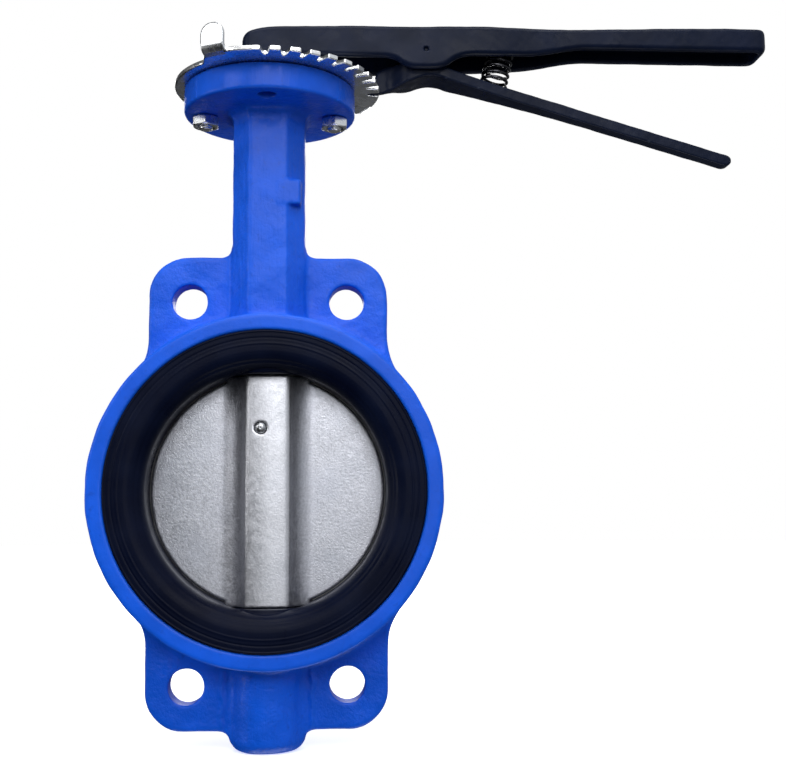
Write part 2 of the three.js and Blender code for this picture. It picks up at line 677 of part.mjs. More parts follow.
function returnSpring() {
  const section = polygon(Array.from({ length: 7 }, (_, i) => {
    const angle = (2 * Math.PI * i) / 7;
    return [SPRING_WIRE * Math.cos(angle), SPRING_WIRE * Math.sin(angle)];
  }));
  const extrudePath = new SpringWire();
  return new THREE.ExtrudeGeometry(section, { steps: 78, bevelEnabled: false, extrudePath });
}

// ---- the assembly ----

const valve = new THREE.Group();

function add(name, geometry, material) {
  const mesh = new THREE.Mesh(geometry, material);
  mesh.name = name;
  valve.add(mesh);
}

add("body_casting", bodyCasting(), bluePaint);
add("seat_liner", seatLiner(), rubber);
add("neck_bush_upper", bush(NECK_BUSH_UPPER), bronze);
add("neck_bush_lower", bush(NECK_BUSH_LOWER), bronze);
add("foot_bush", bush(FOOT_BUSH), bronze);
for (const [place, height] of Object.entries(RING_HEIGHTS)) {
  add(`stem_o_ring_${place}`, oRing(height), rubber);
}
add("neck_circlip", neckCirclip(), steel);
add("notch_plate", notchPlate(), zincPlate);
for (const [side, x] of [["left", -FLANGE_BOLT_RADIUS], ["right", FLANGE_BOLT_RADIUS]]) {
  add(`plate_bolt_${side}`, plateBolt(x), zincPlate);
  add(`plate_nut_${side}`, plateNut(x), zincPlate);
}
add("disc", disc(), castPlated);
add("disc_taper_pin", discPin(), steel);
add("stem", stem(), steel);
add("stem_split_ring", splitRing(), steel);
add("handle", handle(), blackPaint);
add("handle_washer", handleWasher(), zincPlate);
add("handle_screw", handleScrew(), zincPlate);
add("pivot_pin", pivotPin(), blackPaint);
add("return_spring", returnSpring(), blackPaint);
add("trigger_lever", triggerLever(), blackPaint);

export default valve;
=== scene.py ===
"""A DN 125 wafer butterfly valve with a latching hand lever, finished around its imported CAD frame.

Most pieces are built the way a pattern maker thinks of them: as a distance field, in millimetres, whose
parts are blended with cast fillets and cut with crisp machined edges. surface() turns a field into a mesh.
"""

import itertools
import math

import bpy
import numpy as np
from mathutils import Matrix, Vector


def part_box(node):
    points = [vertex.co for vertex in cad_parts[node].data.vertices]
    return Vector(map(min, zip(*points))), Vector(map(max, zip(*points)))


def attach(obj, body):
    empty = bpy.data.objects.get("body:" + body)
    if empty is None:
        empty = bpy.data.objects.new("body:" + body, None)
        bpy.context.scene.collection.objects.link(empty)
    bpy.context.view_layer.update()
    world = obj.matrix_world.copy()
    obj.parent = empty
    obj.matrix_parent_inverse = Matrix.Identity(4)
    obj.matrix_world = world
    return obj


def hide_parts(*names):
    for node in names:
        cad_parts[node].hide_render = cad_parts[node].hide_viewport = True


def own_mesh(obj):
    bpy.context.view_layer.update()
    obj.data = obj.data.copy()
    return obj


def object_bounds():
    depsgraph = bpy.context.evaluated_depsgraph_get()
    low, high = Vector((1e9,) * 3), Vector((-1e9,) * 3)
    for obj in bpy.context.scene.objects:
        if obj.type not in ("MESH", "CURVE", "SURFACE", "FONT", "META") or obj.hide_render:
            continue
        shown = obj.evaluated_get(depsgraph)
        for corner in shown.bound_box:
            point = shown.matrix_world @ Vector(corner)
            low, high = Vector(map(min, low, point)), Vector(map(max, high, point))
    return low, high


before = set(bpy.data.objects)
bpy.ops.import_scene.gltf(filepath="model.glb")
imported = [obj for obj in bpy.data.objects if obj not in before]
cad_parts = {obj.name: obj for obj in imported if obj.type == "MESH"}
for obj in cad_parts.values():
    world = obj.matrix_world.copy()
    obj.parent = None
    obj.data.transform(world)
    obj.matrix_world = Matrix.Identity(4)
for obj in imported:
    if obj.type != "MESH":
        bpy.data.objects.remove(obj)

CAD_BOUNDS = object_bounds()
MM = 0.001


def box_mm(node):
    """Lowest and highest corner of a CAD node, in millimetres."""
    low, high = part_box(node)
    return np.array(low) / MM, np.array(high) / MM


# ---- driving dimensions, in millimetres, from the frame where it holds them ----

BODY_LOW, BODY_HIGH = box_mm("body_casting")
LINER_HIGH = box_mm("seat_liner")[1]
DISC_LOW, DISC_HIGH = box_mm("disc")
PLATE_LOW, PLATE_HIGH = box_mm("notch_plate")
HANDLE_LOW, HANDLE_HIGH = box_mm("handle")
GAP = 0.3
NEAR_AXIS = 0.001

RING_RADIUS = BODY_HIGH[0]
RING_DRAFT = 0.5
LIP_RADIUS = LINER_HIGH[0]
LIP_FACE = LINER_HIGH[1]
LIP_THICKNESS = 4.3
FACE = LIP_FACE - 1
LINER_OUTER_RADIUS = 70
LINER_BORE = 60
SHOULDER_RADIUS = 10

BOLT_CIRCLE = 210
BOLT_HOLE_RADIUS = 9
BOLT_X = BOLT_CIRCLE / 2 * math.sin(math.pi / 8)
BOLT_Z = BOLT_CIRCLE / 2 * math.cos(math.pi / 8)
LUG_HALF_THICKNESS = 7
LUG_HALF_WIDTH = 61.3
LOWER_LUG_HALF_WIDTH = 60.6
LUG_TOP = 120.6
LUG_BOTTOM = -118.9
LUG_CORNER = 20

NECK_START = 60
NECK_HALF_WIDTH = 18.6
NECK_FLAT = 9.6
NECK_SIDE = 9
NECK_CORNER = 2.2
PAD_LEFT, PAD_RIGHT = 3.5, 16.8
PAD_BOTTOM, PAD_TOP = 146, 159.2
PAD_SLOPE = 0.04
FLANGE_RADIUS = BODY_HIGH[1]
FLANGE_TOP = BODY_HIGH[2]
FLANGE_THICKNESS = 13.5
FLANGE_BOTTOM = FLANGE_TOP - FLANGE_THICKNESS
FLANGE_BOLT_RADIUS = 34
FLANGE_HOLE_RADIUS = 4.5
FOOT_RADIUS = 18.4
FOOT_BOTTOM = BODY_LOW[2]

STEM_BORE = 9.8
STEM_BORE_TOP = 94
BUSH_HOLE = 12.2
BUSH_SHELF = 92
FOOT_BORE_BOTTOM = -121
RETAINER_HOLE = 16.2
RETAINER_FLOOR = 203
STEM_SQUARE = 14.6
SQUARE_TOP = 233.3
SCREW_SEAT = 238
SCREW_POCKET_RADIUS = 11
SCREW_HOLE_RADIUS = 4.5
SCREW_HOLE_BOTTOM = 232

DISC_RADIUS = DISC_HIGH[0]
HUB_END = DISC_HIGH[2]
HUB_RADIUS = DISC_HIGH[1]
HUB_END_RADIUS = 22
WING_FOOT = 24
WING_HALF_THICKNESS = 4.5
RIM_HALF_THICKNESS = 2.9
WING_TAPER_START = 44
PIN_LOW, PIN_HIGH = box_mm("disc_taper_pin")
PIN_X = (PIN_LOW[0] + PIN_HIGH[0]) / 2
PIN_Z = (PIN_LOW[2] + PIN_HIGH[2]) / 2
PIN_RADIUS = 3

PLATE_BOTTOM = PLATE_LOW[2]
PLATE_THICKNESS = 2.5
PLATE_BACK_RADIUS = 50
PLATE_RIM_RADIUS = 58.2
PLATE_HOLE_RADIUS = 13
NOTCH_COUNT = 10
NOTCH_PITCH = 90 / (NOTCH_COUNT - 1)
NOTCH_ROOT_RADIUS = 51.6
NOTCH_MOUTH = 2.3
NOTCH_FLOOR = 1.2
TAB_ANGLE = 25.6
TAB_WIDTH = 12.5
TAB_TOP = PLATE_HIGH[2]
TAB_FACE_RADIUS = 60.5
TAB_BEND = 5

M8_RADIUS = 3.9
M8_PITCH = 1.25
M8_THREAD_DEPTH = 0.62
M8_FLATS = 13
M8_HEAD = 5.3
NUT_TURN = 27

HANDLE_LEFT = HANDLE_LOW[0]
HANDLE_RIGHT = HANDLE_HIGH[0]
HANDLE_HALF_WIDTH = HANDLE_HIGH[1]
SOCKET_BOTTOM = HANDLE_LOW[2]
SOCKET_RADIUS = 15
GRIP_TOP = HANDLE_HIGH[2]
HANDLE_TOP = GRIP_TOP - 3.5
GRIP_DIP = GRIP_TOP - 1.9
GRIP_ROOF = GRIP_TOP - 5
GRIP_BOTTOM = 234.6
GRIP_HALF_WIDTH = 12
HANDLE_WALL_BOTTOM = 227
HANDLE_WALL = 4
PIVOT_X = 82.5
PIVOT_Z = 231.2
PIVOT_PIN_RADIUS = 3
PIVOT_PIN_DEPTH = 1.6
PUNCH_RADIUS = 1.3
TRIGGER_HUB_HALF_WIDTH = 9.5
TRIGGER_HUB_RADIUS = 7

SPRING_FOOT = np.array([120, 0, 218.1])
SPRING_HEAD = np.array([124.8, 0, 238.6])
SPRING_RADIUS = 6.8
SPRING_WIRE = 0.9
SPRING_TURNS = 6.5


# ---- fields ----


class Grid:
    """A box of sample points. x, y and z are ready to be combined, each along its own axis."""

    def __init__(self, low, high, step):
        self.low = np.array(low, float)
        self.step = step
        counts = np.ceil((np.array(high, float) - self.low) / step).astype(int) + 1
        lines = [self.low[i] + step * np.arange(counts[i]) for i in range(3)]
        self.x = lines[0].reshape(-1, 1, 1).astype(np.float32)
        self.y = lines[1].reshape(1, -1, 1).astype(np.float32)
        self.z = lines[2].reshape(1, 1, -1).astype(np.float32)


def outline_field(points, u, v):
    """Distance to a closed outline in two dimensions, negative inside it."""
    u, v = np.broadcast_arrays(u, v)
    nearest = np.full(u.shape, 1e9, np.float32)
    inside = np.zeros(u.shape, bool)
    points = np.array(points, float)
    for (au, av), (bu, bv) in zip(points, np.roll(points, -1, axis=0)):
        du, dv = bu - au, bv - av
        length = du * du + dv * dv
        if length < 1e-12:
            continue
        along = np.clip(((u - au) * du + (v - av) * dv) / length, 0, 1)
        nearest = np.minimum(nearest, (u - au - along * du) ** 2 + (v - av - along * dv) ** 2)
        if dv:
            inside ^= ((av > v) != (bv > v)) & (u < au + (v - av) * du / dv)
    return np.where(inside, -1, 1) * np.sqrt(nearest)


def both(a, b, edge):
    """What is inside a and b, with its edge rounded to this radius."""
    outside = np.hypot(np.maximum(a + edge, 0), np.maximum(b + edge, 0))
    return np.minimum(np.maximum(a, b), -edge) + outside


def fused(a, b, fillet):
    """What is inside a or b, with a cast fillet of about this size between them."""
    near = np.maximum(fillet - np.abs(a - b), 0) / fillet
    return np.minimum(a, b) - near * near * fillet / 4


def without(a, tool, edge):
    return both(a, -tool, edge)


def bar(u, v, radius, cu=0.0, cv=0.0):
    return np.hypot(u - cu, v - cv) - radius


def between(w, low, high):
    return np.abs(w - (low + high) / 2) - (high - low) / 2


def hexagon(u, v, flats, turn):
    """A hexagon with two of its flats facing along v, turned by so many degrees."""
    sine, cosine = math.sin(math.radians(turn)), math.cos(math.radians(turn))
    u, v = np.abs(u * cosine - v * sine), np.abs(u * sine + v * cosine)
    return np.maximum(v, u * math.cos(math.pi / 6) + v / 2) - flats / 2


# ---- outlines ----


class Outline:
    """A closed line, drawn piece by piece."""

    def __init__(self, *start):
        self.points = [np.array(start, float)]

    def to(self, *corners):
        self.points += [np.array(c, float) for c in corners]
        return self

    def curve(self, control, end, steps=10):
        a, b, c = self.points[-1], np.array(control, float), np.array(end, float)
        for t in np.linspace(0, 1, steps + 1)[1:]:
            self.points.append((1 - t) ** 2 * a + 2 * t * (1 - t) * b + t * t * c)
        return self

    def bend(self, first, second, end, steps=14):
        a, b, c, d = self.points[-1], *(np.array(p, float) for p in (first, second, end))
        for t in np.linspace(0, 1, steps + 1)[1:]:
            self.points.append(
                (1 - t) ** 3 * a + 3 * t * (1 - t) ** 2 * b + 3 * t * t * (1 - t) * c + t**3 * d
            )
        return self

    def arc(self, centre, radius, start, stop, steps=12):
        """From one angle to another, in degrees."""
        for angle in np.radians(np.linspace(start, stop, steps + 1)):
            self.points.append(np.array(centre) + radius * np.array([math.cos(angle), math.sin(angle)]))
        return self


# ---- meshes ----


def sample(field, points):
    """The field between its samples; the points are in grid steps."""
    base = np.clip(np.floor(points).astype(int), 0, np.array(field.shape) - 2)
    part = points - base
    total = np.zeros(len(points))
    for corner in itertools.product((0, 1), repeat=3):
        weight = np.prod(np.where(corner, part, 1 - part), axis=1)
        total += weight * field[tuple((base + corner).T)]
    return total


def slope(field, points, reach=0.5):
    """The field's gradient at points in grid steps."""
    parts = []
    for axis in np.eye(3) * reach:
        parts.append((sample(field, points + axis) - sample(field, points - axis)) / (2 * reach))
    return np.stack(parts, axis=1)


def nets(field):
    """The field's zero surface: points in grid steps, and four-sided faces that look outwards."""
    grazed = np.float32(0.01)
    field = np.where(np.abs(field) < grazed, grazed, field)
    inside = field < 0
    faces, crossings = [], []
    for axis in range(3):
        low = tuple(slice(None, -1) if i == axis else slice(None) for i in range(3))
        high = tuple(slice(1, None) if i == axis else slice(None) for i in range(3))
        cells = np.argwhere(inside[low] != inside[high])
        here = field[low][tuple(cells.T)]
        there = field[high][tuple(cells.T)]
        crossing = cells.astype(float)
        crossing[:, axis] += here / (here - there)
        corners = []
        for du, dv in ((0, 0), (-1, 0), (-1, -1), (0, -1)):
            cell = cells.copy()
            cell[:, (axis + 1) % 3] += du
            cell[:, (axis + 2) % 3] += dv
            corners.append(np.ravel_multi_index(cell.T, field.shape))
        corners = np.stack(corners, axis=1)
        flipped = here > 0
        corners[flipped] = corners[flipped][:, ::-1]
        faces.append(corners)
        crossings.append(np.repeat(crossing, 4, axis=0))
    faces = np.concatenate(faces)
    crossings = np.concatenate(crossings)
    used, corner_ids = np.unique(faces.ravel(), return_inverse=True)
    counts = np.bincount(corner_ids)
    points = [np.bincount(corner_ids, weights=crossings[:, i]) / counts for i in range(3)]
    return np.stack(points, axis=1), corner_ids.reshape(-1, 4)


def unevenness(points, size, seed):
    """A smooth, repeatable bumpiness between about -1 and 1, with bumps of roughly this size."""
    x, y, z = (points * (2 * math.pi / size)).T
    first = np.sin(x + 0.6 * y + seed) * np.sin(1.1 * z - 0.4 * x + 2.1 * seed)
    second = np.sin(0.9 * y + 0.5 * z + 0.7 * seed) * np.sin(0.8 * x - 0.7 * z + 1.7 * seed)
    third = np.sin(1.7 * z + 0.9 * y + 1.3 * seed) * np.sin(1.4 * y - 1.2 * x + 0.4 * seed)
    return (first + second + 0.6 * third) / 2


def mesh_object(name, points, faces):
    """An object from points in millimetres."""
    mesh = bpy.data.meshes.new(name)
    mesh.from_pydata((np.array(points, float) * MM).tolist(), [], [list(f) for f in faces])
    mesh.polygons.foreach_set("use_smooth", np.ones(len(mesh.polygons), bool))
    mesh.update()
    piece = bpy.data.objects.new(name, mesh)
    bpy.context.scene.collection.objects.link(piece)
    return piece


def surface(name, grid, field, relief=None):
    """A mesh of the field's surface, with relief(points, normals) mm pushed out along its normals."""
    points, faces = nets(field)
    for _ in range(2):
        value = sample(field, points)[:, None]
        gradient = slope(field, points)
        steepness = np.maximum((gradient**2).sum(1, keepdims=True), 1e-6)
        points -= np.clip(value * gradient / steepness, -0.5, 0.5)
    normals = slope(field, points)
    normals /= np.maximum(np.linalg.norm(normals, axis=1, keepdims=True), 1e-6)
    points = points * grid.step + grid.low
    if relief is not None:
        points += normals * relief(points, normals)[:, None]
    return mesh_object(name, points, faces.tolist())


def turned(name, profile, sides=128, axis="Z", centre=(0, 0, 0)):
    """A closed profile of (radius, height) points, turned about an axis through the centre."""
    profile = np.array(profile, float)
    angles = 2 * math.pi * np.arange(sides) / sides
    radius, height = profile.T
    ring = [
        np.outer(np.cos(angles), radius),
        np.outer(np.sin(angles), radius),
        np.tile(height, (sides, 1)),
    ]
    if axis == "Y":
        ring = [ring[0], ring[2], -ring[1]]
    points = np.stack([part.ravel() for part in ring], axis=1) + np.array(centre, float)
    count = len(profile)
    faces = []
    for i, j in itertools.product(range(sides), range(count)):
        after, above = (i + 1) % sides, (j + 1) % count
        faces.append((i * count + j, after * count + j, after * count + above, i * count + above))
    return mesh_object(name, points, faces)


def combine(piece, tool, operation):
    """Adds the tool's shape to a piece, or takes it away, and removes the tool."""
    change = piece.modifiers.new("combine", "BOOLEAN")
    change.operation = operation
    change.solver = "EXACT"
    change.object = tool
    bpy.context.view_layer.update()
    graph = bpy.context.evaluated_depsgraph_get()
    piece.data = bpy.data.meshes.new_from_object(piece.evaluated_get(graph))
    piece.modifiers.clear()
    bpy.data.objects.remove(tool)


# ---- body casting ----


def lug_outline():
    """The plate that carries the four lugs, seen along the pipe."""
    w, v, c = LUG_HALF_WIDTH, LOWER_LUG_HALF_WIDTH, LUG_CORNER
    n, f, top, low = NECK_HALF_WIDTH, FOOT_RADIUS, LUG_TOP, LUG_BOTTOM
    line = Outline(75, -45).to((75, 45)).curve((w + 0.5, 63), (w, 78)).to((w, top - c))
    line.arc((w - c, top - c), c, 0, 90).to((n + 6, top)).curve((n + 1, top + 0.5), (n, top + 5))
    line.to((-n, top + 5)).curve((-n - 1, top + 0.5), (-n - 6, top))
    line.arc((c - w, top - c), c, 90, 180).to((-w, 78)).curve((-w - 0.5, 63), (-75, 45))
    line.to((-75, -45)).curve((-v - 0.5, -63), (-v, -78)).to((-v, low + c))
    line.arc((c - v, low + c), c, 180, 270).to((-f - 6, low)).curve((-f - 1, low - 0.5), (-f + 1, low - 4))
    line.to((f - 1, low - 4)).curve((f + 1, low - 0.5), (f + 6, low))
    line.arc((v - c, low + c), c, 270, 360).to((v, -78)).curve((v + 0.5, -63), (75, -45))
    return line.points


def neck_outline(inset):
    """An octagon, drawn this far inside the neck's faces."""
    w, cut = NECK_HALF_WIDTH - inset, inset * math.tan(math.pi / 8)
    f, s = NECK_FLAT - cut, NECK_SIDE - cut
    return [(f, -w), (w, -s), (w, s), (f, w), (-f, w), (-w, s), (-w, -s), (-f, -w)]


def casting_field(g):
    """The raw casting, before the machine shop."""
    across = np.abs(g.y)
    ring_taper = np.hypot(g.x, g.z) - RING_RADIUS + RING_DRAFT * across / FACE
    ring = both(ring_taper, across - FACE, 1.4)
    lugs = both(outline_field(lug_outline(), g.x, g.z), across - LUG_HALF_THICKNESS, 1.8)
    octagon = outline_field(neck_outline(NECK_CORNER), g.x, g.y) - NECK_CORNER
    neck = both(octagon, between(g.z, NECK_START, FLANGE_BOTTOM + 4), 1)
    flange = both(bar(g.x, g.y, FLANGE_RADIUS), between(g.z, FLANGE_BOTTOM, FLANGE_TOP), 1.2)
    foot = both(bar(g.x, g.y, FOOT_RADIUS), between(g.z, FOOT_BOTTOM, -NECK_START), 6)
    pad_front = g.y + NECK_HALF_WIDTH + PAD_SLOPE * (g.x - PAD_LEFT)
    pad = both(between(g.x, PAD_LEFT, PAD_RIGHT), np.maximum(-pad_front, g.y + NECK_SIDE), 1.2)
    neck = fused(neck, both(pad, between(g.z, PAD_BOTTOM, PAD_TOP), 0.8), 0.8)
    cast = fused(ring, lugs, 6)
    cast = fused(cast, neck, 3)
    cast = fused(cast, foot, 4)
    cast = fused(cast, flange, 7)
    parting_line = 0.25 * np.exp(-((g.y / 0.8) ** 2)) * (g.z < FLANGE_BOTTOM - 6)
    return cast - parting_line


def body_field(g):
    field = casting_field(g)
    rho = np.hypot(g.x, g.z)
    recess = both(rho - LIP_RADIUS - GAP, FACE - LIP_THICKNESS - np.abs(g.y), 0.3)
    field = without(field, np.minimum(rho - LINER_OUTER_RADIUS - GAP, recess), 0.4)
    for side, end in itertools.product((-1, 1), (-1, 1)):
        field = without(field, bar(g.x, g.z, BOLT_HOLE_RADIUS, side * BOLT_X, end * BOLT_Z), 0.5)
    for quarter in range(4):
        x = FLANGE_BOLT_RADIUS * math.cos(quarter * math.pi / 2)
        y = FLANGE_BOLT_RADIUS * math.sin(quarter * math.pi / 2)
        hole = both(bar(g.x, g.y, FLANGE_HOLE_RADIUS, x, y), FLANGE_BOTTOM - 8 - g.z, 0.3)
        field = without(field, hole, 0.4)
    bores = [
        (STEM_BORE, NECK_START, STEM_BORE_TOP),
        (BUSH_HOLE, BUSH_SHELF, RETAINER_FLOOR + 2),
        (RETAINER_HOLE, RETAINER_FLOOR, FLANGE_TOP + 4),
        (BUSH_HOLE, FOOT_BORE_BOTTOM, -NECK_START),
    ]
    for radius, low, high in bores:
        field = without(field, both(bar(g.x, g.y, radius), between(g.z, low, high), 0.3), 0.3)
    return field


def cast_relief(points, normals):
    """The mould's unevenness, strong on the raw neck, lugs and foot, slight on the machined faces."""
    machined = (np.abs(points[:, 1]) > FACE - 0.6) | (points[:, 2] > FLANGE_BOTTOM - 0.5)
    rho = np.hypot(points[:, 0], points[:, 2])
    in_bore = (rho < LIP_RADIUS + 1) & (np.abs(normals[:, 2]) + np.abs(normals[:, 0]) > 0.5)
    strength = np.where(machined, 0.25, 1.0) * np.where(in_bore, 0.0, 1.0)
    long_waves = 0.20 * unevenness(points, 27, 1.0)
    short_waves = 0.035 * unevenness(points, 9.5, 4.0)
    pits = -0.12 * np.clip(unevenness(points, 6.1, 7.0) - 0.7, 0, 1)
    return strength * (long_waves + short_waves + pits + paint_runs(points) + sand_scabs(points))


def paint_runs(points):
    """Thick runs of enamel down the front of the lower lugs, one on each side of the foot."""
    x, y, z = points.T
    height, half_width, top = 1.1, 0.8, -87
    wander = FOOT_RADIUS + 3.8 + 0.9 * unevenness(points, 16, 9.0)
    ridge = np.exp(-(((np.abs(x) - wander) / half_width) ** 2))
    length = np.clip((top - z) / 5, 0, 1) * np.clip((z - LUG_BOTTOM) / 4, 0, 1)
    return height * ridge * length * (y < 0)


def sand_scabs(points):
    """A rough patch on the front of one lower lug, where the mould's sand washed out."""
    x, y, z = points.T
    height, centre_x, centre_z = 0.8, -51, -86
    patch = np.exp(-(((x - centre_x) / 6) ** 2) - ((z - centre_z) / 5) ** 2)
    return height * patch * np.clip(unevenness(points, 3.4, 5.0), 0, 1) * (y < 0)


def body_casting():
    grid = Grid(BODY_LOW - 2, BODY_HIGH + 2, 0.9)
    return surface("valve_body", grid, body_field(grid), cast_relief)


# ---- rubber seat ----


def liner_profile():
    """Half a section of the sleeve: its back, the lip with its fine ridges, and the round shoulder."""
    outer, lip_back = LINER_OUTER_RADIUS, FACE - LIP_THICKNESS + GAP
    half = [(outer, 0), (outer, lip_back - 1), (outer + 1, lip_back)]
    half += [(LIP_RADIUS - 0.3, lip_back), (LIP_RADIUS, lip_back + 0.3)]
    for angle in np.radians(np.linspace(0, 90, 7)):
        half.append((LIP_RADIUS - 1 + math.cos(angle), LIP_FACE - 1 + math.sin(angle)))
    inner, face = LINER_BORE + SHOULDER_RADIUS, LIP_FACE - 0.25
    ridge_radius, groove_radius, fold_angle = 72.4, 75.2, 52
    for radius in np.arange(LIP_RADIUS - 1.2, inner, -0.3):
        ridge = 0.16 * math.exp(-(((radius - ridge_radius) / 0.45) ** 2))
        groove = 0.22 * math.exp(-(((radius - groove_radius) / 0.35) ** 2))
        half.append((radius, face + ridge - groove))
    for angle in np.radians(np.linspace(90, 0, 26)):
        fold = 0.25 * math.exp(-(((math.degrees(angle) - fold_angle) / 4) ** 2))
        reach = SHOULDER_RADIUS - fold
        half.append((inner - reach * math.cos(angle), face - SHOULDER_RADIUS + reach * math.sin(angle)))
    half.append((LINER_BORE, 6))
    return half


def rod_profile(radius, end):
    return [(NEAR_AXIS, -end), (radius, -end), (radius, end), (NEAR_AXIS, end)]


def seat_liner():
    """A moulded sleeve with two flat pads for the ends of the disc's hub, drilled for the stem."""
    half = liner_profile()
    front = [(radius, -y) for radius, y in reversed(half)]
    liner = turned("rubber_seat", half + front[:-1], 256, "Y")
    radius, flat = HUB_END_RADIUS + GAP, HUB_END + GAP
    combine(liner, turned("flats", rod_profile(radius, flat)), "DIFFERENCE")
    pad = [(NEAR_AXIS, flat), (radius - 0.8, flat), (radius - 0.2, flat + 0.2)]
    pad += [(radius, flat + 0.8), (radius, flat + 4), (NEAR_AXIS, flat + 4)]
    for side in (-1, 1):
        combine(liner, turned("pad", [(r, side * z) for r, z in pad][::side]), "UNION")
    combine(liner, turned("bore", rod_profile(STEM_BORE, 90), 64), "DIFFERENCE")
    return liner


# ---- disc ----


def disc_outline():
    """Section across the stem: a hub with a flattened front, concave fillets and thin wings."""
    front, fillet, turn, wing = HUB_RADIUS, 14.3, 60, WING_HALF_THICKNESS
    line = Outline(DISC_RADIUS + 3, RIM_HALF_THICKNESS)
    line.curve((WING_TAPER_START, wing), (WING_FOOT, wing))
    line.arc((WING_FOOT, wing + fillet), fillet, 270, 270 - turn, 20)
    quarter = line.curve((10.9, front - 1.3), (9.2, front - 0.75)).curve((4.6, front), (0, front)).points
    half = quarter + [point * (-1, 1) for point in reversed(quarter)]
    return half + [point * (1, -1) for point in reversed(half)]


def disc_relief(points, normals):
    on_rim = np.linalg.norm(points, axis=1) > DISC_RADIUS - 0.3
    waves = 0.05 * unevenness(points, 31, 2.0) + 0.01 * unevenness(points, 8, 5.0)
    return np.where(on_rim, 0, waves)


def disc():
    grid = Grid(DISC_LOW - 2, DISC_HIGH + 2, 0.6)
    ball = np.sqrt(grid.x**2 + grid.y**2 + grid.z**2) - DISC_RADIUS
    room = np.minimum(ball, bar(grid.x, grid.y, HUB_END_RADIUS))
    field = both(outline_field(disc_outline(), grid.x, grid.y), room, 1.2)
    field = both(field, np.abs(grid.z) - HUB_END, 0.6)
    field = without(field, bar(grid.x, grid.y, STEM_BORE), 0.3)
    field = without(field, bar(grid.x, grid.z, PIN_RADIUS + GAP, PIN_X, PIN_Z), 0.4)
    return surface("valve_disc", grid, field, disc_relief)


def disc_pin():
    """A driven pin with a low dome in front and a small chamfer behind."""
    front, back = PIN_LOW[1], PIN_HIGH[1]
    head = [(NEAR_AXIS, front), (0.9, front + 0.05), (1.8, front + 0.25), (2.5, front + 0.65)]
    tail = [(PIN_RADIUS - 0.2, back - 0.8), (2.3, back - 0.2), (NEAR_AXIS, back)]
    return turned("disc_pin", head + [(PIN_RADIUS, front + 1.3)] + tail, 40, "Y", (PIN_X, 0, PIN_Z))


# ---- notch plate ----


def rim_point(angle, radius):
    """The angle runs in degrees from -Y, the open side, towards +X, the closed side."""
    return (radius * math.sin(math.radians(angle)), -radius * math.cos(math.radians(angle)))


def rim_arc(start, stop, radius, step=1.5):
    count = max(1, round((stop - start) / step))
    return [rim_point(angle, radius) for angle in np.linspace(start, stop, count + 1)]


def plate_outline():
    """Round at the back, toothed in front, a little narrower where the two tabs are bent up."""
    zone, start = TAB_ANGLE + 7.5, TAB_ANGLE - 6.5
    tab_radius = TAB_FACE_RADIUS - TAB_BEND
    points = rim_arc(-zone, -start, tab_radius) + rim_arc(-start, -5, PLATE_RIM_RADIUS)
    for i in range(NOTCH_COUNT):
        angle = i * NOTCH_PITCH
        points.append(rim_point(angle - NOTCH_MOUTH, PLATE_RIM_RADIUS))
        for share in np.linspace(-1, 1, 7):
            dip = 1 - math.sqrt(1 - 0.9 * share * share)
            points.append(rim_point(angle + NOTCH_FLOOR * share, NOTCH_ROOT_RADIUS + dip))
        points.append(rim_point(angle + NOTCH_MOUTH, PLATE_RIM_RADIUS))
    points += rim_arc(95, 90 + start, PLATE_RIM_RADIUS) + rim_arc(90 + start, 90 + zone, tab_radius)
    return points + rim_arc(96 + zone, 354 - zone, PLATE_BACK_RADIUS, 3)


def tab_field(g, angle):
    """A strip bent up from the rim, with a thumb-shaped end."""
    sine, cosine = math.sin(math.radians(angle)), math.cos(math.radians(angle))
    out = g.x * sine - g.y * cosine
    along = g.x * cosine + g.y * sine
    foot = TAB_FACE_RADIUS - TAB_BEND
    bottom, centre = PLATE_BOTTOM, (foot, PLATE_BOTTOM + TAB_BEND)
    section = Outline(foot - 6, bottom).to((foot, bottom)).arc(centre, TAB_BEND, -90, 0)
    section.to((TAB_FACE_RADIUS, TAB_TOP + 2), (TAB_FACE_RADIUS - PLATE_THICKNESS, TAB_TOP + 2))
    section.arc(centre, TAB_BEND - PLATE_THICKNESS, 0, -90)
    section.to((foot - 6, bottom + PLATE_THICKNESS))
    half, corner = TAB_WIDTH / 2, 5.6
    face = Outline(-half, bottom - 3).to((half, bottom - 3))
    face.arc((half - corner, TAB_TOP - corner), corner, 0, 90)
    face.arc((corner - half, TAB_TOP - corner), corner, 90, 180)
    return both(outline_field(section.points, out, g.z), outline_field(face.points, along, g.z), 0.35)


def notch_plate():
    grid = Grid(PLATE_LOW - 1.5, PLATE_HIGH + 1.5, 0.45)
    plan = outline_field(plate_outline(), grid.x, grid.y)
    holes = np.minimum(
        bar(grid.x, grid.y, PLATE_HOLE_RADIUS),
        bar(np.abs(grid.x), grid.y, FLANGE_HOLE_RADIUS, FLANGE_BOLT_RADIUS),
    )
    plan = np.maximum(plan, -holes)
    field = both(plan, between(grid.z, PLATE_BOTTOM, PLATE_BOTTOM + PLATE_THICKNESS), 0.35)
    for angle in (-TAB_ANGLE, 90 + TAB_ANGLE):
        field = fused(field, tab_field(grid, angle), 1)
    return surface("latch_plate", grid, field)


# ---- fasteners ----


def hex_head(g, low, high, turn=0.0, chamfer_bottom=False):
    """A hexagon whose corners are turned off at thirty degrees."""
    rho = np.hypot(g.x, g.y)
    field = both(hexagon(g.x, g.y, M8_FLATS, turn), between(g.z, low, high), 0.15)
    reach = 0.49 * M8_FLATS / 2
    field = np.maximum(field, rho / 2 + (g.z - high) * math.cos(math.pi / 6) - reach)
    if chamfer_bottom:
        field = np.maximum(field, rho / 2 + (low - g.z) * math.cos(math.pi / 6) - reach)
    return field


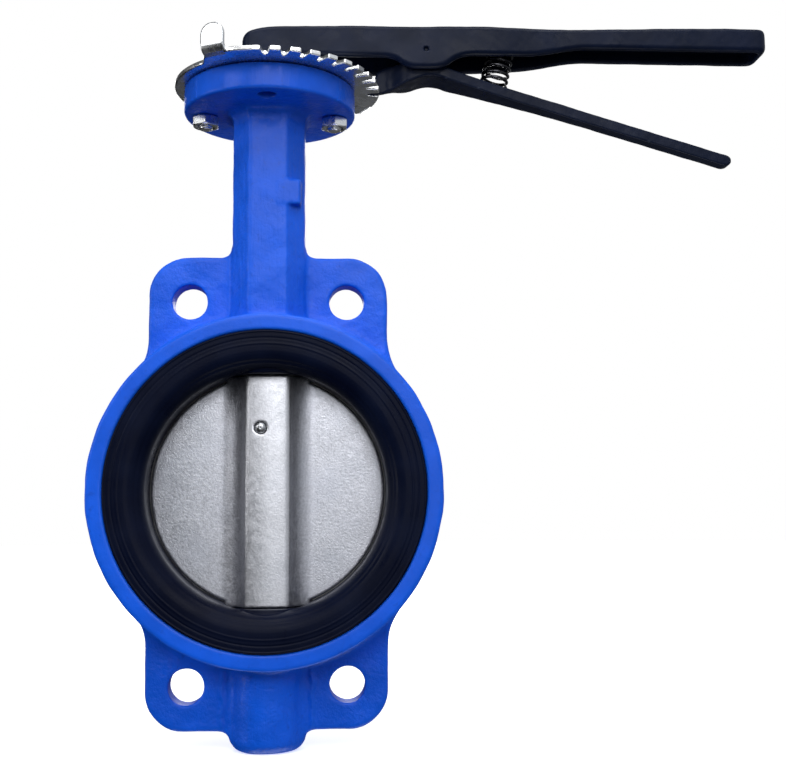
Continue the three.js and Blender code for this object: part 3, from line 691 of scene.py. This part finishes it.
def threaded(g, low, high):
    """A rod with a real helical thread and a turned point at its lower end."""
    rho = np.hypot(g.x, g.y)
    turn = g.z / M8_PITCH - np.arctan2(g.y, g.x) / (2 * math.pi)
    depth = M8_THREAD_DEPTH * (1 - 2 * np.abs(turn - np.floor(turn) - 0.5))
    rod = both(rho - M8_RADIUS + depth, between(g.z, low, high), 0.1)
    return np.maximum(rod, (rho - M8_RADIUS + 0.9 + low - g.z) * math.sqrt(0.5))


def fastener_grid(node):
    """A plate fastener's box and a fine grid round it, moved onto the Z axis, and the move back."""
    low, high = box_mm(node)
    shift = np.array([(low[0] + high[0]) / 2, 0, 0])
    grid = Grid(low - 0.9 - shift, high + 0.9 - shift, 0.22)
    return low, high, grid, Matrix.Translation(shift * MM)


def plate_bolt(name, node):
    low, high, grid, move = fastener_grid(node)
    head = hex_head(grid, high[2] - M8_HEAD, high[2])
    bolt = surface(name, grid, np.minimum(head, threaded(grid, low[2], high[2] - 1)))
    bolt.data.transform(move)
    return bolt


def plate_nut(name, node):
    low, high, grid, move = fastener_grid(node)
    field = hex_head(grid, low[2], high[2], NUT_TURN, chamfer_bottom=True)
    rho = np.hypot(grid.x, grid.y)
    countersink = rho - M8_RADIUS - 1 + (grid.z - low[2])
    hole = np.minimum(rho - M8_RADIUS - 0.2, countersink)
    nut = surface(name, grid, without(field, hole, 0.1))
    nut.data.transform(move)
    return nut


def handle_screw():
    low, high = box_mm("handle_screw")
    grid = Grid(low - 0.9, high + 0.9, 0.22)
    head = hex_head(grid, high[2] - M8_HEAD, high[2])
    crown = grid.z - high[2] + 0.25 * np.exp(-((np.hypot(grid.x, grid.y) / 4.2) ** 6))
    field = np.minimum(np.maximum(head, crown), threaded(grid, low[2], high[2] - 1))
    return surface("lever_screw", grid, field)


def handle_washer():
    low, high = box_mm("handle_washer")
    bore, edge = 4.2, high[0]
    profile = [(bore, low[2] + 0.15), (bore + 0.15, low[2]), (edge - 0.2, low[2]), (edge, low[2] + 0.2)]
    profile += [(edge, high[2] - 0.3), (edge - 0.3, high[2]), (bore + 0.2, high[2]), (bore, high[2] - 0.2)]
    return turned("lever_washer", profile, 64)


# ---- handle ----


def handle_plan(inset=0.0):
    """The handle seen from above; the inset gives its hollow."""
    wide, slim = HANDLE_HALF_WIDTH - inset, GRIP_HALF_WIDTH - inset
    left, near = (17, 1) if inset else (HANDLE_LEFT, 5.5)
    right, far = HANDLE_RIGHT - inset, 6.5 - inset / 2
    line = Outline(left + near, -wide).to((100, -wide)).bend((125, -wide), (135, -slim), (165, -slim))
    line.arc((right - far, far - slim), far, -90, 0).arc((right - far, slim - far), far, 0, 90)
    line.to((165, slim)).bend((135, slim), (125, wide), (100, wide))
    line.arc((left + near, wide - near), near, 90, 180).arc((left + near, near - wide), near, 180, 270)
    return line.points


def handle_side():
    """The handle seen from the side: walls, ears round the pivot, and the rise to the grip."""
    wall, grip, end, right = HANDLE_WALL_BOTTOM, GRIP_BOTTOM, 3.5, HANDLE_RIGHT
    line = Outline(HANDLE_LEFT, wall).to((60, wall)).curve((66, wall - 0.3), (69, 223.8))
    line.curve((73, 221.3), (77, 221.3)).to((86, 221.3)).curve((92, 221.6), (95.5, 224.5))
    line.curve((100, 228.6), (108, 228.8)).to((133, 229.6)).bend((148, 230.2), (158, grip), (172, grip))
    line.arc((right - end, grip + end), end, -90, 0).arc((right - end, GRIP_TOP - end), end, 0, 90)
    line.to((240, GRIP_TOP)).curve((222, GRIP_TOP - 0.2), (172, GRIP_DIP))
    line.bend((145, GRIP_DIP - 0.8), (112, GRIP_DIP - 0.1), (80, HANDLE_TOP))
    line.to((45, HANDLE_TOP), (8, HANDLE_TOP - 0.9))
    line.curve((HANDLE_LEFT + 1, HANDLE_TOP - 1.4), (HANDLE_LEFT, wall + 8))
    return line.points


def handle_roof():
    wall = HANDLE_WALL
    return [
        (0, 190), (HANDLE_RIGHT, 190), (HANDLE_RIGHT, GRIP_ROOF),
        (150, GRIP_ROOF), (85, HANDLE_TOP - wall), (0, HANDLE_TOP - wall),
    ]


def handle():
    grid = Grid(HANDLE_LOW - 1.5, HANDLE_HIGH + 1.5, 0.6)
    plan, side = handle_plan(), handle_side()
    outside = both(outline_field(plan, grid.x, grid.y), outline_field(side, grid.x, grid.z), 2.6)
    plan, side = handle_plan(HANDLE_WALL), handle_roof()
    hollow = both(outline_field(plan, grid.x, grid.y), outline_field(side, grid.x, grid.z), 2)
    field = without(outside, hollow, 1.3)
    socket_height = between(grid.z, SOCKET_BOTTOM, HANDLE_WALL_BOTTOM + 2)
    field = fused(field, both(bar(grid.x, grid.y, SOCKET_RADIUS), socket_height, 1), 3)
    square = np.maximum(np.abs(grid.x), np.abs(grid.y)) - STEM_SQUARE / 2
    field = without(field, both(square, grid.z - SQUARE_TOP, 0.2), 0.4)
    pocket = bar(grid.x, grid.y, SCREW_POCKET_RADIUS)
    field = without(field, both(pocket, SCREW_SEAT - grid.z, 0.3), 0.8)
    screw_hole = bar(grid.x, grid.y, SCREW_HOLE_RADIUS)
    field = without(field, both(screw_hole, SCREW_HOLE_BOTTOM - grid.z, 0.2), 0.3)
    buried = HANDLE_HALF_WIDTH - PIVOT_PIN_DEPTH - np.abs(grid.y)
    punch = both(bar(grid.x, grid.z, PUNCH_RADIUS, PIVOT_X, PIVOT_Z), buried, 0.6)
    return surface("hand_lever", grid, without(field, punch, 0.5), lever_relief)


def lever_relief(points, normals):
    return 0.10 * unevenness(points, 26, 3.0) + 0.045 * unevenness(points, 8, 6.0)


def pivot_pin():
    """A driven pin whose ends lie inside the handle, where only a punch mark shows on each side."""
    low, high = box_mm("pivot_pin")
    front, back, radius = low[1] + PIVOT_PIN_DEPTH, high[1] - PIVOT_PIN_DEPTH, PIVOT_PIN_RADIUS
    profile = [(NEAR_AXIS, front), (radius - 0.4, front), (radius, front + 0.4)]
    profile += [(radius, back - 0.4), (radius - 0.4, back), (NEAR_AXIS, back)]
    return turned("lever_pivot", profile, 40, "Y", (PIVOT_X, 0, PIVOT_Z))


# ---- trigger and its spring ----


def trigger_side():
    """The bar from its tall pawl, whose nose sits in a notch, to the tail, and back along its top."""
    line = Outline(53.2, 210.6).to((59.7, 211.6), (75.8, 216.7)).curve((85.6, 221.2), (93.8, 217.3))
    line.to((157, 199.4), (244, 173.5)).curve((249.3, 173.3), (248, 177.6)).curve((247, 179.2), (243, 180))
    line.to((155, 206.4), (105.7, 220), (93, 224), (75.5, 227), (64, 226.2)).curve((56.2, 225), (55.6, 219))
    return line.to((55.4, 214.9), (53.2, 214.6)).points


def trigger_plan():
    hub = TRIGGER_HUB_HALF_WIDTH
    line = Outline(53, -0.95).to((59.7, -1.7)).bend((68, -2.2), (68, -hub), (76, -hub)).to((95, -hub))
    line.bend((120, -6.5), (130, -5), (170, -4.3)).to((250, -4), (250, 4), (170, 4.3))
    line.bend((130, 5), (120, 6.5), (95, hub)).to((76, hub)).bend((68, hub), (68, 2.2), (59.7, 1.7))
    return line.to((53, 0.95)).points


def trigger_lever():
    grid = Grid((51, -12, 171), (251, 12, 241), 0.5)
    plan = outline_field(trigger_plan(), grid.x, grid.y)
    field = both(plan, outline_field(trigger_side(), grid.x, grid.z), 0.9)
    width, radius = np.abs(grid.y) - TRIGGER_HUB_HALF_WIDTH, TRIGGER_HUB_RADIUS
    hub = both(bar(grid.x, grid.z, radius, PIVOT_X, PIVOT_Z), width, 0.5)
    web = both(between(grid.x, PIVOT_X - radius, PIVOT_X + radius), between(grid.z, 221, PIVOT_Z), 0.5)
    field = fused(field, np.minimum(hub, both(web, width, 0.5)), 2)
    field = without(field, bar(grid.x, grid.z, PIVOT_PIN_RADIUS + GAP, PIVOT_X, PIVOT_Z), 0.3)
    return surface("latch_trigger", grid, field, lever_relief)


def wire_mesh(name, centre, outward, radius, sides=12):
    """A round wire along a line of points, with the outward direction at each of them."""
    tangent = np.gradient(centre, axis=0)
    tangent /= np.linalg.norm(tangent, axis=1, keepdims=True)
    outward = outward - tangent * (outward * tangent).sum(1, keepdims=True)
    outward /= np.linalg.norm(outward, axis=1, keepdims=True)
    binormal = np.cross(tangent, outward)
    rings = []
    for angle in 2 * math.pi * np.arange(sides) / sides:
        rings.append(centre + radius * (math.cos(angle) * outward + math.sin(angle) * binormal))
    points = np.stack(rings, axis=1).reshape(-1, 3)
    steps = len(centre) - 1
    faces = []
    for step, i in itertools.product(range(steps), range(sides)):
        a, b = step * sides + i, step * sides + (i + 1) % sides
        faces.append((a, b, b + sides, a + sides))
    faces.append(tuple(reversed(range(sides))))
    faces.append(tuple(range(steps * sides, (steps + 1) * sides)))
    return mesh_object(name, points, faces)


def return_spring():
    """A wound wire whose end coils lie closer together."""
    along = SPRING_HEAD - SPRING_FOOT
    across = np.array([along[2], 0, -along[0]])
    across = across / np.linalg.norm(across)
    steps = 40 * int(SPRING_TURNS) + 20
    t = np.linspace(0, 1, steps + 1)
    rise = t - 0.05 * np.sin(2 * math.pi * t) * np.abs(np.cos(math.pi * t))
    angle = 2 * math.pi * SPRING_TURNS * t
    outward = np.outer(np.cos(angle), across) + np.outer(np.sin(angle), (0, 1, 0))
    centre = SPRING_FOOT + np.outer(rise, along) + SPRING_RADIUS * outward
    return wire_mesh("trigger_spring", centre, outward, SPRING_WIRE)


# ---- materials ----

RANGE_SOCKETS = ("From Min", "From Max", "To Min", "To Max")


class Finish:
    """A Principled material and short ways to drive it from noise in the object's own space."""

    def __init__(self, name, colour, roughness, metallic=0.0, coat=0.0, coat_roughness=0.1, specular=0.5):
        self.material = bpy.data.materials.new(name)
        self.material.use_nodes = True
        tree = self.material.node_tree
        self.add, self.link = tree.nodes.new, tree.links.new
        self.shader = tree.nodes["Principled BSDF"]
        values = {
            "Base Color": (*colour, 1),
            "Roughness": roughness,
            "Metallic": metallic,
            "Coat Weight": coat,
            "Coat Roughness": coat_roughness,
            "Specular IOR Level": specular,
        }
        for socket, value in values.items():
            self.shader.inputs[socket].default_value = value
        self.place = self.add("ShaderNodeTexCoord").outputs["Object"]
        self.normal = None

    def scaled(self, size, stretch=(1, 1, 1)):
        """The object's own space, where one unit is this many millimetres."""
        mapping = self.add("ShaderNodeMapping")
        mapping.inputs["Scale"].default_value = Vector(stretch) / (size * MM)
        self.link(self.place, mapping.inputs["Vector"])
        return mapping.outputs["Vector"]

    def noise(self, size, detail=3.0, roughness=0.5, stretch=(1, 1, 1)):
        """Noise between 0 and 1, with patches of about this size in millimetres."""
        place = self.scaled(size, stretch)
        node = self.add("ShaderNodeTexNoise")
        node.inputs["Scale"].default_value = 1
        node.inputs["Detail"].default_value = detail
        node.inputs["Roughness"].default_value = roughness
        self.link(place, node.inputs["Vector"])
        return node.outputs["Fac"]

    def cells(self, size):
        """Distance from scattered points, for pits and specks."""
        place = self.scaled(size)
        node = self.add("ShaderNodeTexVoronoi")
        node.inputs["Scale"].default_value = 1
        self.link(place, node.inputs["Vector"])
        return node.outputs["Distance"]

    def span(self, value, low, high, to_low=0.0, to_high=1.0):
        """Maps a value from one range to another and holds it there."""
        node = self.add("ShaderNodeMapRange")
        node.interpolation_type = "SMOOTHSTEP"
        self.link(value, node.inputs["Value"])
        for name, number in zip(RANGE_SOCKETS, (low, high, to_low, to_high)):
            node.inputs[name].default_value = number
        return node.outputs["Result"]

    def maths(self, kind, a, b=None):
        node = self.add("ShaderNodeMath")
        node.operation = kind
        for socket, value in zip(node.inputs, (a, b)):
            if isinstance(value, (int, float)):
                socket.default_value = value
            elif value is not None:
                self.link(value, socket)
        return node.outputs["Value"]

    def axis(self, letter):
        node = self.add("ShaderNodeSeparateXYZ")
        self.link(self.place, node.inputs["Vector"])
        return node.outputs[letter]

    def radius(self, letters):
        """Distance from the axis that the two letters are square to, in metres."""
        squares = [self.maths("POWER", self.axis(letter), 2.0) for letter in letters]
        return self.maths("SQRT", self.maths("ADD", *squares))

    def edges(self, low, high):
        """1 on outward edges, where the finishes paint a highlight."""
        node = self.add("ShaderNodeNewGeometry")
        return self.span(node.outputs["Pointiness"], low, high)

    def mix(self, factor, a, b):
        """A colour between a and b, each a colour or another mix."""
        node = self.add("ShaderNodeMix")
        node.data_type = "RGBA"
        self.link(factor, node.inputs["Factor"])
        for socket, value in ((node.inputs[6], a), (node.inputs[7], b)):
            if isinstance(value, tuple):
                socket.default_value = (*value, 1)
            else:
                self.link(value, socket)
        return node.outputs[2]

    def paint(self, colour):
        self.link(colour, self.shader.inputs["Base Color"])
        return self

    def gloss(self, roughness):
        self.link(roughness, self.shader.inputs["Roughness"])
        return self

    def bump(self, height, depth):
        """Adds relief of this depth in millimetres."""
        node = self.add("ShaderNodeBump")
        node.inputs["Distance"].default_value = depth * MM
        node.inputs["Strength"].default_value = 1
        self.link(height, node.inputs["Height"])
        if self.normal is not None:
            self.link(self.normal, node.inputs["Normal"])
        self.normal = node.outputs["Normal"]
        self.link(self.normal, self.shader.inputs["Normal"])
        return self


def blue_enamel():
    """Brushed-on blue enamel over a sand casting; smoother on the machined faces."""
    m = Finish("blue_enamel", (0.004, 0.09, 0.7), 0.4, coat=0.15, coat_roughness=0.22, specular=0.15)
    machined = m.span(m.maths("ABSOLUTE", m.axis("Y")), (FACE - 1.2) * MM, (FACE - 0.5) * MM)
    raw = m.maths("SUBTRACT", 1.0, m.maths("MULTIPLY", machined, 0.7))
    patches = m.noise(24, 4)
    colour = m.mix(m.span(patches, 0.35, 0.7), (0.003, 0.088, 0.64), (0.005, 0.108, 0.77))
    colour = m.mix(m.span(m.noise(3.2, 5), 0.58, 0.8, 0, 0.5), colour, (0.003, 0.055, 0.46))
    # Outward edges take a lighter blue: a painted highlight, also standing for thinner enamel there.
    colour = m.mix(m.edges(0.52, 0.62), colour, (0.02, 0.15, 0.88))
    m.paint(colour)
    m.gloss(m.span(m.noise(9, 5), 0.3, 0.75, 0.34, 0.5))
    grain = m.maths("MULTIPLY", m.noise(1.5, 4, 0.55), raw)
    lumps = m.maths("MULTIPLY", m.noise(6.5, 4, 0.6), raw)
    off_ring = m.span(m.maths("ABSOLUTE", m.axis("Z")), 84 * MM, 96 * MM)
    off_lugs = m.span(m.maths("ABSOLUTE", m.axis("X")), 20 * MM, 24 * MM, 1, 0)
    on_neck = m.maths("MULTIPLY", off_ring, off_lugs)
    strokes = m.maths("MULTIPLY", m.noise(3.2, 3, 0.6, (1, 1, 0.1)), on_neck)
    m.bump(lumps, 0.8).bump(grain, 0.25).bump(strokes, 0.5)
    return m.material


def black_rubber():
    """Moulded rubber: satin, with fine rings from the mould and a little dust."""
    m = Finish("black_rubber", (0.003, 0.004, 0.010), 0.36, specular=0.06)
    dust = m.span(m.noise(2.2, 6, 0.7), 0.62, 0.8, 0, 0.2)
    colour = m.mix(m.span(m.noise(30, 3), 0.35, 0.7), (0.0016, 0.003, 0.012), (0.003, 0.0055, 0.019))
    m.paint(m.mix(dust, colour, (0.012, 0.013, 0.022)))
    m.gloss(m.span(m.noise(14, 4), 0.3, 0.7, 0.26, 0.42))
    rings = m.maths("SINE", m.maths("MULTIPLY", m.radius("XZ"), 2 * math.pi / (1.9 * MM)))
    m.bump(rings, 0.008).bump(m.noise(1.1, 4), 0.04)
    return m.material


def plated_iron():
    """Bright plating over a sand-cast disc: fine grain on the wings, smoother on the hub, and a painted
    highlight that lightens the hub.
    """
    m = Finish("plated_iron", (0.6, 0.61, 0.63), 0.36, metallic=0.95)
    wings = m.span(m.maths("ABSOLUTE", m.axis("X")), 11 * MM, 17 * MM)
    colour = m.mix(m.span(m.noise(1.2, 4, 0.65), 0.35, 0.68), (0.50, 0.51, 0.56), (0.66, 0.67, 0.73))
    colour = m.mix(m.span(m.noise(20, 3), 0.4, 0.72, 0, 0.5), colour, (0.54, 0.56, 0.63))
    # The hub's colour is mixed towards a lighter grey: a painted highlight.
    colour = m.mix(m.span(wings, 0, 1, 0.35, 0), colour, (0.82, 0.83, 0.86))
    stains = m.span(m.cells(7), 0.02, 0.10, 0.35, 0)
    m.paint(m.mix(stains, colour, (0.3, 0.3, 0.31)))
    m.gloss(m.span(m.noise(2.4, 4), 0.3, 0.7, 0.32, 0.44))
    depth = m.maths("ADD", m.maths("MULTIPLY", wings, 0.4), 0.6)
    grain = m.maths("MULTIPLY", m.noise(0.9, 4, 0.6), depth)
    m.bump(m.noise(3, 3), 0.03).bump(grain, 0.13)
    return m.material


def zinc():
    """Bright zinc plate with a faint blue tint and small dull spots."""
    m = Finish("zinc_plating", (0.62, 0.64, 0.66), 0.26, metallic=1.0)
    tint = m.mix(m.span(m.noise(12, 3), 0.35, 0.7), (0.76, 0.78, 0.80), (0.84, 0.84, 0.84))
    m.paint(m.mix(m.span(m.noise(1.6, 4, 0.6), 0.62, 0.8, 0, 0.25), tint, (0.5, 0.51, 0.52)))
    m.gloss(m.span(m.noise(5, 5), 0.3, 0.72, 0.2, 0.34))
    m.bump(m.noise(5, 2, 0.5), 0.01)
    return m.material


def black_enamel():
    """Black enamel on cast iron, with a painted bluish highlight along its outward edges."""
    m = Finish("black_enamel", (0.004, 0.007, 0.02), 0.32, specular=0.1)
    colour = m.mix(m.span(m.noise(22, 4), 0.35, 0.7), (0.003, 0.006, 0.018), (0.005, 0.009, 0.026))
    # Outward edges take a lighter, bluish colour: a painted highlight.
    colour = m.mix(m.edges(0.515, 0.6), colour, (0.02, 0.026, 0.045))
    m.paint(m.mix(m.span(m.noise(2.5, 6, 0.7), 0.66, 0.8, 0, 0.3), colour, (0.012, 0.013, 0.02)))
    m.gloss(m.span(m.noise(10, 5), 0.3, 0.72, 0.26, 0.42))
    m.bump(m.noise(6, 3), 0.10).bump(m.noise(1.4, 4), 0.03)
    return m.material


def metal(name, dark, light, roughness):
    """Turned or drawn metal, with tool marks round its axis."""
    m = Finish(name, light, roughness, metallic=1.0)
    m.paint(m.mix(m.span(m.noise(6, 5, 0.6), 0.35, 0.7), dark, light))
    m.gloss(m.span(m.noise(3, 4), 0.3, 0.7, roughness - 0.08, roughness + 0.12))
    m.bump(m.noise(2.5, 3, 0.5, (1, 1, 14)), 0.02)
    return m.material


# ---- the object ----


def dress(piece, finish, body, *nodes):
    """Gives a piece its material and its body, and hides the CAD nodes that it stands for."""
    material, slot = finish
    piece.data.materials.clear()
    piece.data.materials.append(material)
    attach(piece, body)
    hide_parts(*nodes)
    return piece


def build_object():
    fixed, turning = "valve_body", "stem_and_handle"
    enamel, rubber = (blue_enamel(), "body_paint"), (black_rubber(), "rubber")
    plating, bright = (plated_iron(), "disc_plating"), (zinc(), "zinc_plate")
    black = (black_enamel(), "lever_paint")
    steel = (metal("turned_steel", (0.36, 0.37, 0.39), (0.58, 0.59, 0.61), 0.3), "steel")
    bronze = metal("turned_bronze", (0.36, 0.21, 0.09), (0.58, 0.38, 0.17), 0.34)
    wire = (metal("blackened_wire", (0.02, 0.02, 0.024), (0.09, 0.09, 0.1), 0.24), "spring_steel")
    dress(body_casting(), enamel, fixed, "body_casting")
    dress(seat_liner(), rubber, fixed, "seat_liner")
    dress(notch_plate(), bright, fixed, "notch_plate")
    for side in ("left", "right"):
        bolt, nut = f"plate_bolt_{side}", f"plate_nut_{side}"
        dress(plate_bolt(f"flange_bolt_{side}", bolt), bright, fixed, bolt)
        dress(plate_nut(f"flange_nut_{side}", nut), bright, fixed, nut)
    dress(disc(), plating, turning, "disc")
    dress(disc_pin(), steel, turning, "disc_taper_pin")
    dress(handle(), black, turning, "handle")
    dress(handle_washer(), bright, turning, "handle_washer")
    dress(handle_screw(), bright, turning, "handle_screw")
    dress(pivot_pin(), black, turning, "pivot_pin")
    spring = dress(return_spring(), wire, turning, "return_spring")
    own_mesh(spring)
    dress(trigger_lever(), black, "trigger", "trigger_lever")
    kept = {
        steel[0]: ("stem", "stem_split_ring", "neck_circlip"),
        bronze: ("neck_bush_upper", "neck_bush_lower", "foot_bush"),
        rubber[0]: ("stem_o_ring_upper", "stem_o_ring_lower", "stem_o_ring_foot"),
    }
    for material, nodes in kept.items():
        for node in nodes:
            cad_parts[node].data.materials[0] = material


# ---- floor, light and camera ----


def floor():
    """A pale floor that grows as light as the surround, away from the valve."""
    reach, height, sides = 4.0, CAD_BOUNDS[0][2], 64
    angles = [2 * math.pi * i / sides for i in range(sides)]
    mesh = bpy.data.meshes.new("floor")
    rim = [(reach * math.cos(angle), reach * math.sin(angle), height) for angle in angles]
    mesh.from_pydata(rim, [], [tuple(range(sides))])
    ground = bpy.data.objects.new("floor", mesh)
    bpy.context.scene.collection.objects.link(ground)
    ground.visible_diffuse = False
    ground.visible_glossy = False
    ground.visible_shadow = False
    m = Finish("pale_floor", (0.86, 0.86, 0.87), 0.8, specular=0.1)
    m.paint(m.mix(m.noise(300, 2), (0.85, 0.85, 0.86), (0.88, 0.88, 0.885)))
    m.shader.inputs["Emission Color"].default_value = (1, 1, 1, 1)
    m.link(m.span(m.radius("XY"), 0.1, 0.9, 0.6, 1.0), m.shader.inputs["Emission Strength"])
    mesh.materials.append(m.material)


def softbox(name, place, aim, width, height, power):
    data = bpy.data.lights.new(name, "AREA")
    data.shape = "RECTANGLE"
    data.size, data.size_y = width, height
    data.energy = power
    lamp = bpy.data.objects.new(name, data)
    lamp.location = place
    lamp.rotation_euler = (Vector(aim) - Vector(place)).to_track_quat("-Z", "Y").to_euler()
    bpy.context.scene.collection.objects.link(lamp)


def falloff(add, link):
    """How bright the surround is by direction: dimmer from below, from the left and from behind."""
    place = add("ShaderNodeTexCoord").outputs["Generated"]
    split = add("ShaderNodeSeparateXYZ")
    link(place, split.inputs["Vector"])
    spans = {"Z": (-0.25, 0.15, 0.14, 0.75), "X": (-0.4, 0.05, 0.12, 1), "Y": (0.1, 0.8, 1, 0.6)}
    ramps = []
    for axis, numbers in spans.items():
        ramp = add("ShaderNodeMapRange")
        ramp.interpolation_type = "SMOOTHSTEP"
        for name, number in zip(RANGE_SOCKETS, numbers):
            ramp.inputs[name].default_value = number
        link(split.outputs[axis], ramp.inputs["Value"])
        ramps.append(ramp.outputs["Result"])
    strength = ramps[0]
    for ramp in ramps[1:]:
        product = add("ShaderNodeMath")
        product.operation = "MULTIPLY"
        link(strength, product.inputs[0])
        link(ramp, product.inputs[1])
        strength = product.outputs["Value"]
    return strength


def surround():
    """A world that looks white, and lights the valve by its falloff."""
    world = bpy.data.worlds.new("studio")
    bpy.context.scene.world = world
    world.use_nodes = True
    tree = world.node_tree
    add, link = tree.nodes.new, tree.links.new
    shade = tree.nodes["Background"]
    shade.inputs["Color"].default_value = (0.93, 0.96, 1, 1)
    link(falloff(add, link), shade.inputs["Strength"])
    seen = add("ShaderNodeBackground")
    seen.inputs["Color"].default_value = (1, 1, 1, 1)
    seen.inputs["Strength"].default_value = 1.0
    choose = add("ShaderNodeMixShader")
    path = add("ShaderNodeLightPath")
    link(path.outputs["Is Camera Ray"], choose.inputs["Fac"])
    link(shade.outputs["Background"], choose.inputs[1])
    link(seen.outputs["Background"], choose.inputs[2])
    link(choose.outputs["Shader"], tree.nodes["World Output"].inputs["Surface"])


def studio():
    """Each light has its place and aim, then its width, height and power in watts."""
    surround()
    softbox("overhead", (0.05, -0.45, 0.95), (0.04, 0, 0.08), 0.8, 0.5, 5.5)
    softbox("front", (0.1, -1.0, 0.2), (0.1, 0, 0.2), 0.32, 0.6, 0.7)
    softbox("key", (0.05, -1.0, 0.54), (0.05, 0, 0.1), 0.8, 0.4, 3.8)
    softbox("high_left", (-0.8, -0.75, 0.5), (0, 0, 0.12), 0.4, 0.6, 3)
    softbox("left", (-1.1, -0.25, 0.1), (0, 0, 0.05), 0.3, 0.7, 2.2)
    softbox("rear", (-0.05, 1.1, 0.52), (0, 0, 0.08), 0.8, 0.5, 5)
    softbox("bounce", (0.12, 0.1, -0.95), (0.1, 0, 0.1), 0.9, 0.7, 5)


def camera():
    """Just below the disc's centre, looking a little up and to the right."""
    place = (0.0287, -0.5895, -0.0116)
    pitch, yaw, roll = (math.radians(angle) for angle in (6.25, 3.47, -0.43))
    forward = Vector((math.sin(yaw) * math.cos(pitch), math.cos(yaw) * math.cos(pitch), math.sin(pitch)))
    level = Vector((math.cos(yaw), -math.sin(yaw), 0))
    upright = level.cross(forward)
    right = math.cos(roll) * level + math.sin(roll) * upright
    up = math.cos(roll) * upright - math.sin(roll) * level
    turn = Matrix((right, up, -forward)).transposed()
    data = bpy.data.cameras.new("camera")
    data.sensor_width = 36
    data.lens = 52.12
    eye = bpy.data.objects.new("camera", data)
    eye.matrix_world = Matrix.Translation(place) @ turn.to_4x4()
    bpy.context.scene.collection.objects.link(eye)
    bpy.context.scene.camera = eye


bpy.context.scene.view_settings.view_transform = "Standard"
camera()
studio()
floor()
build_object()
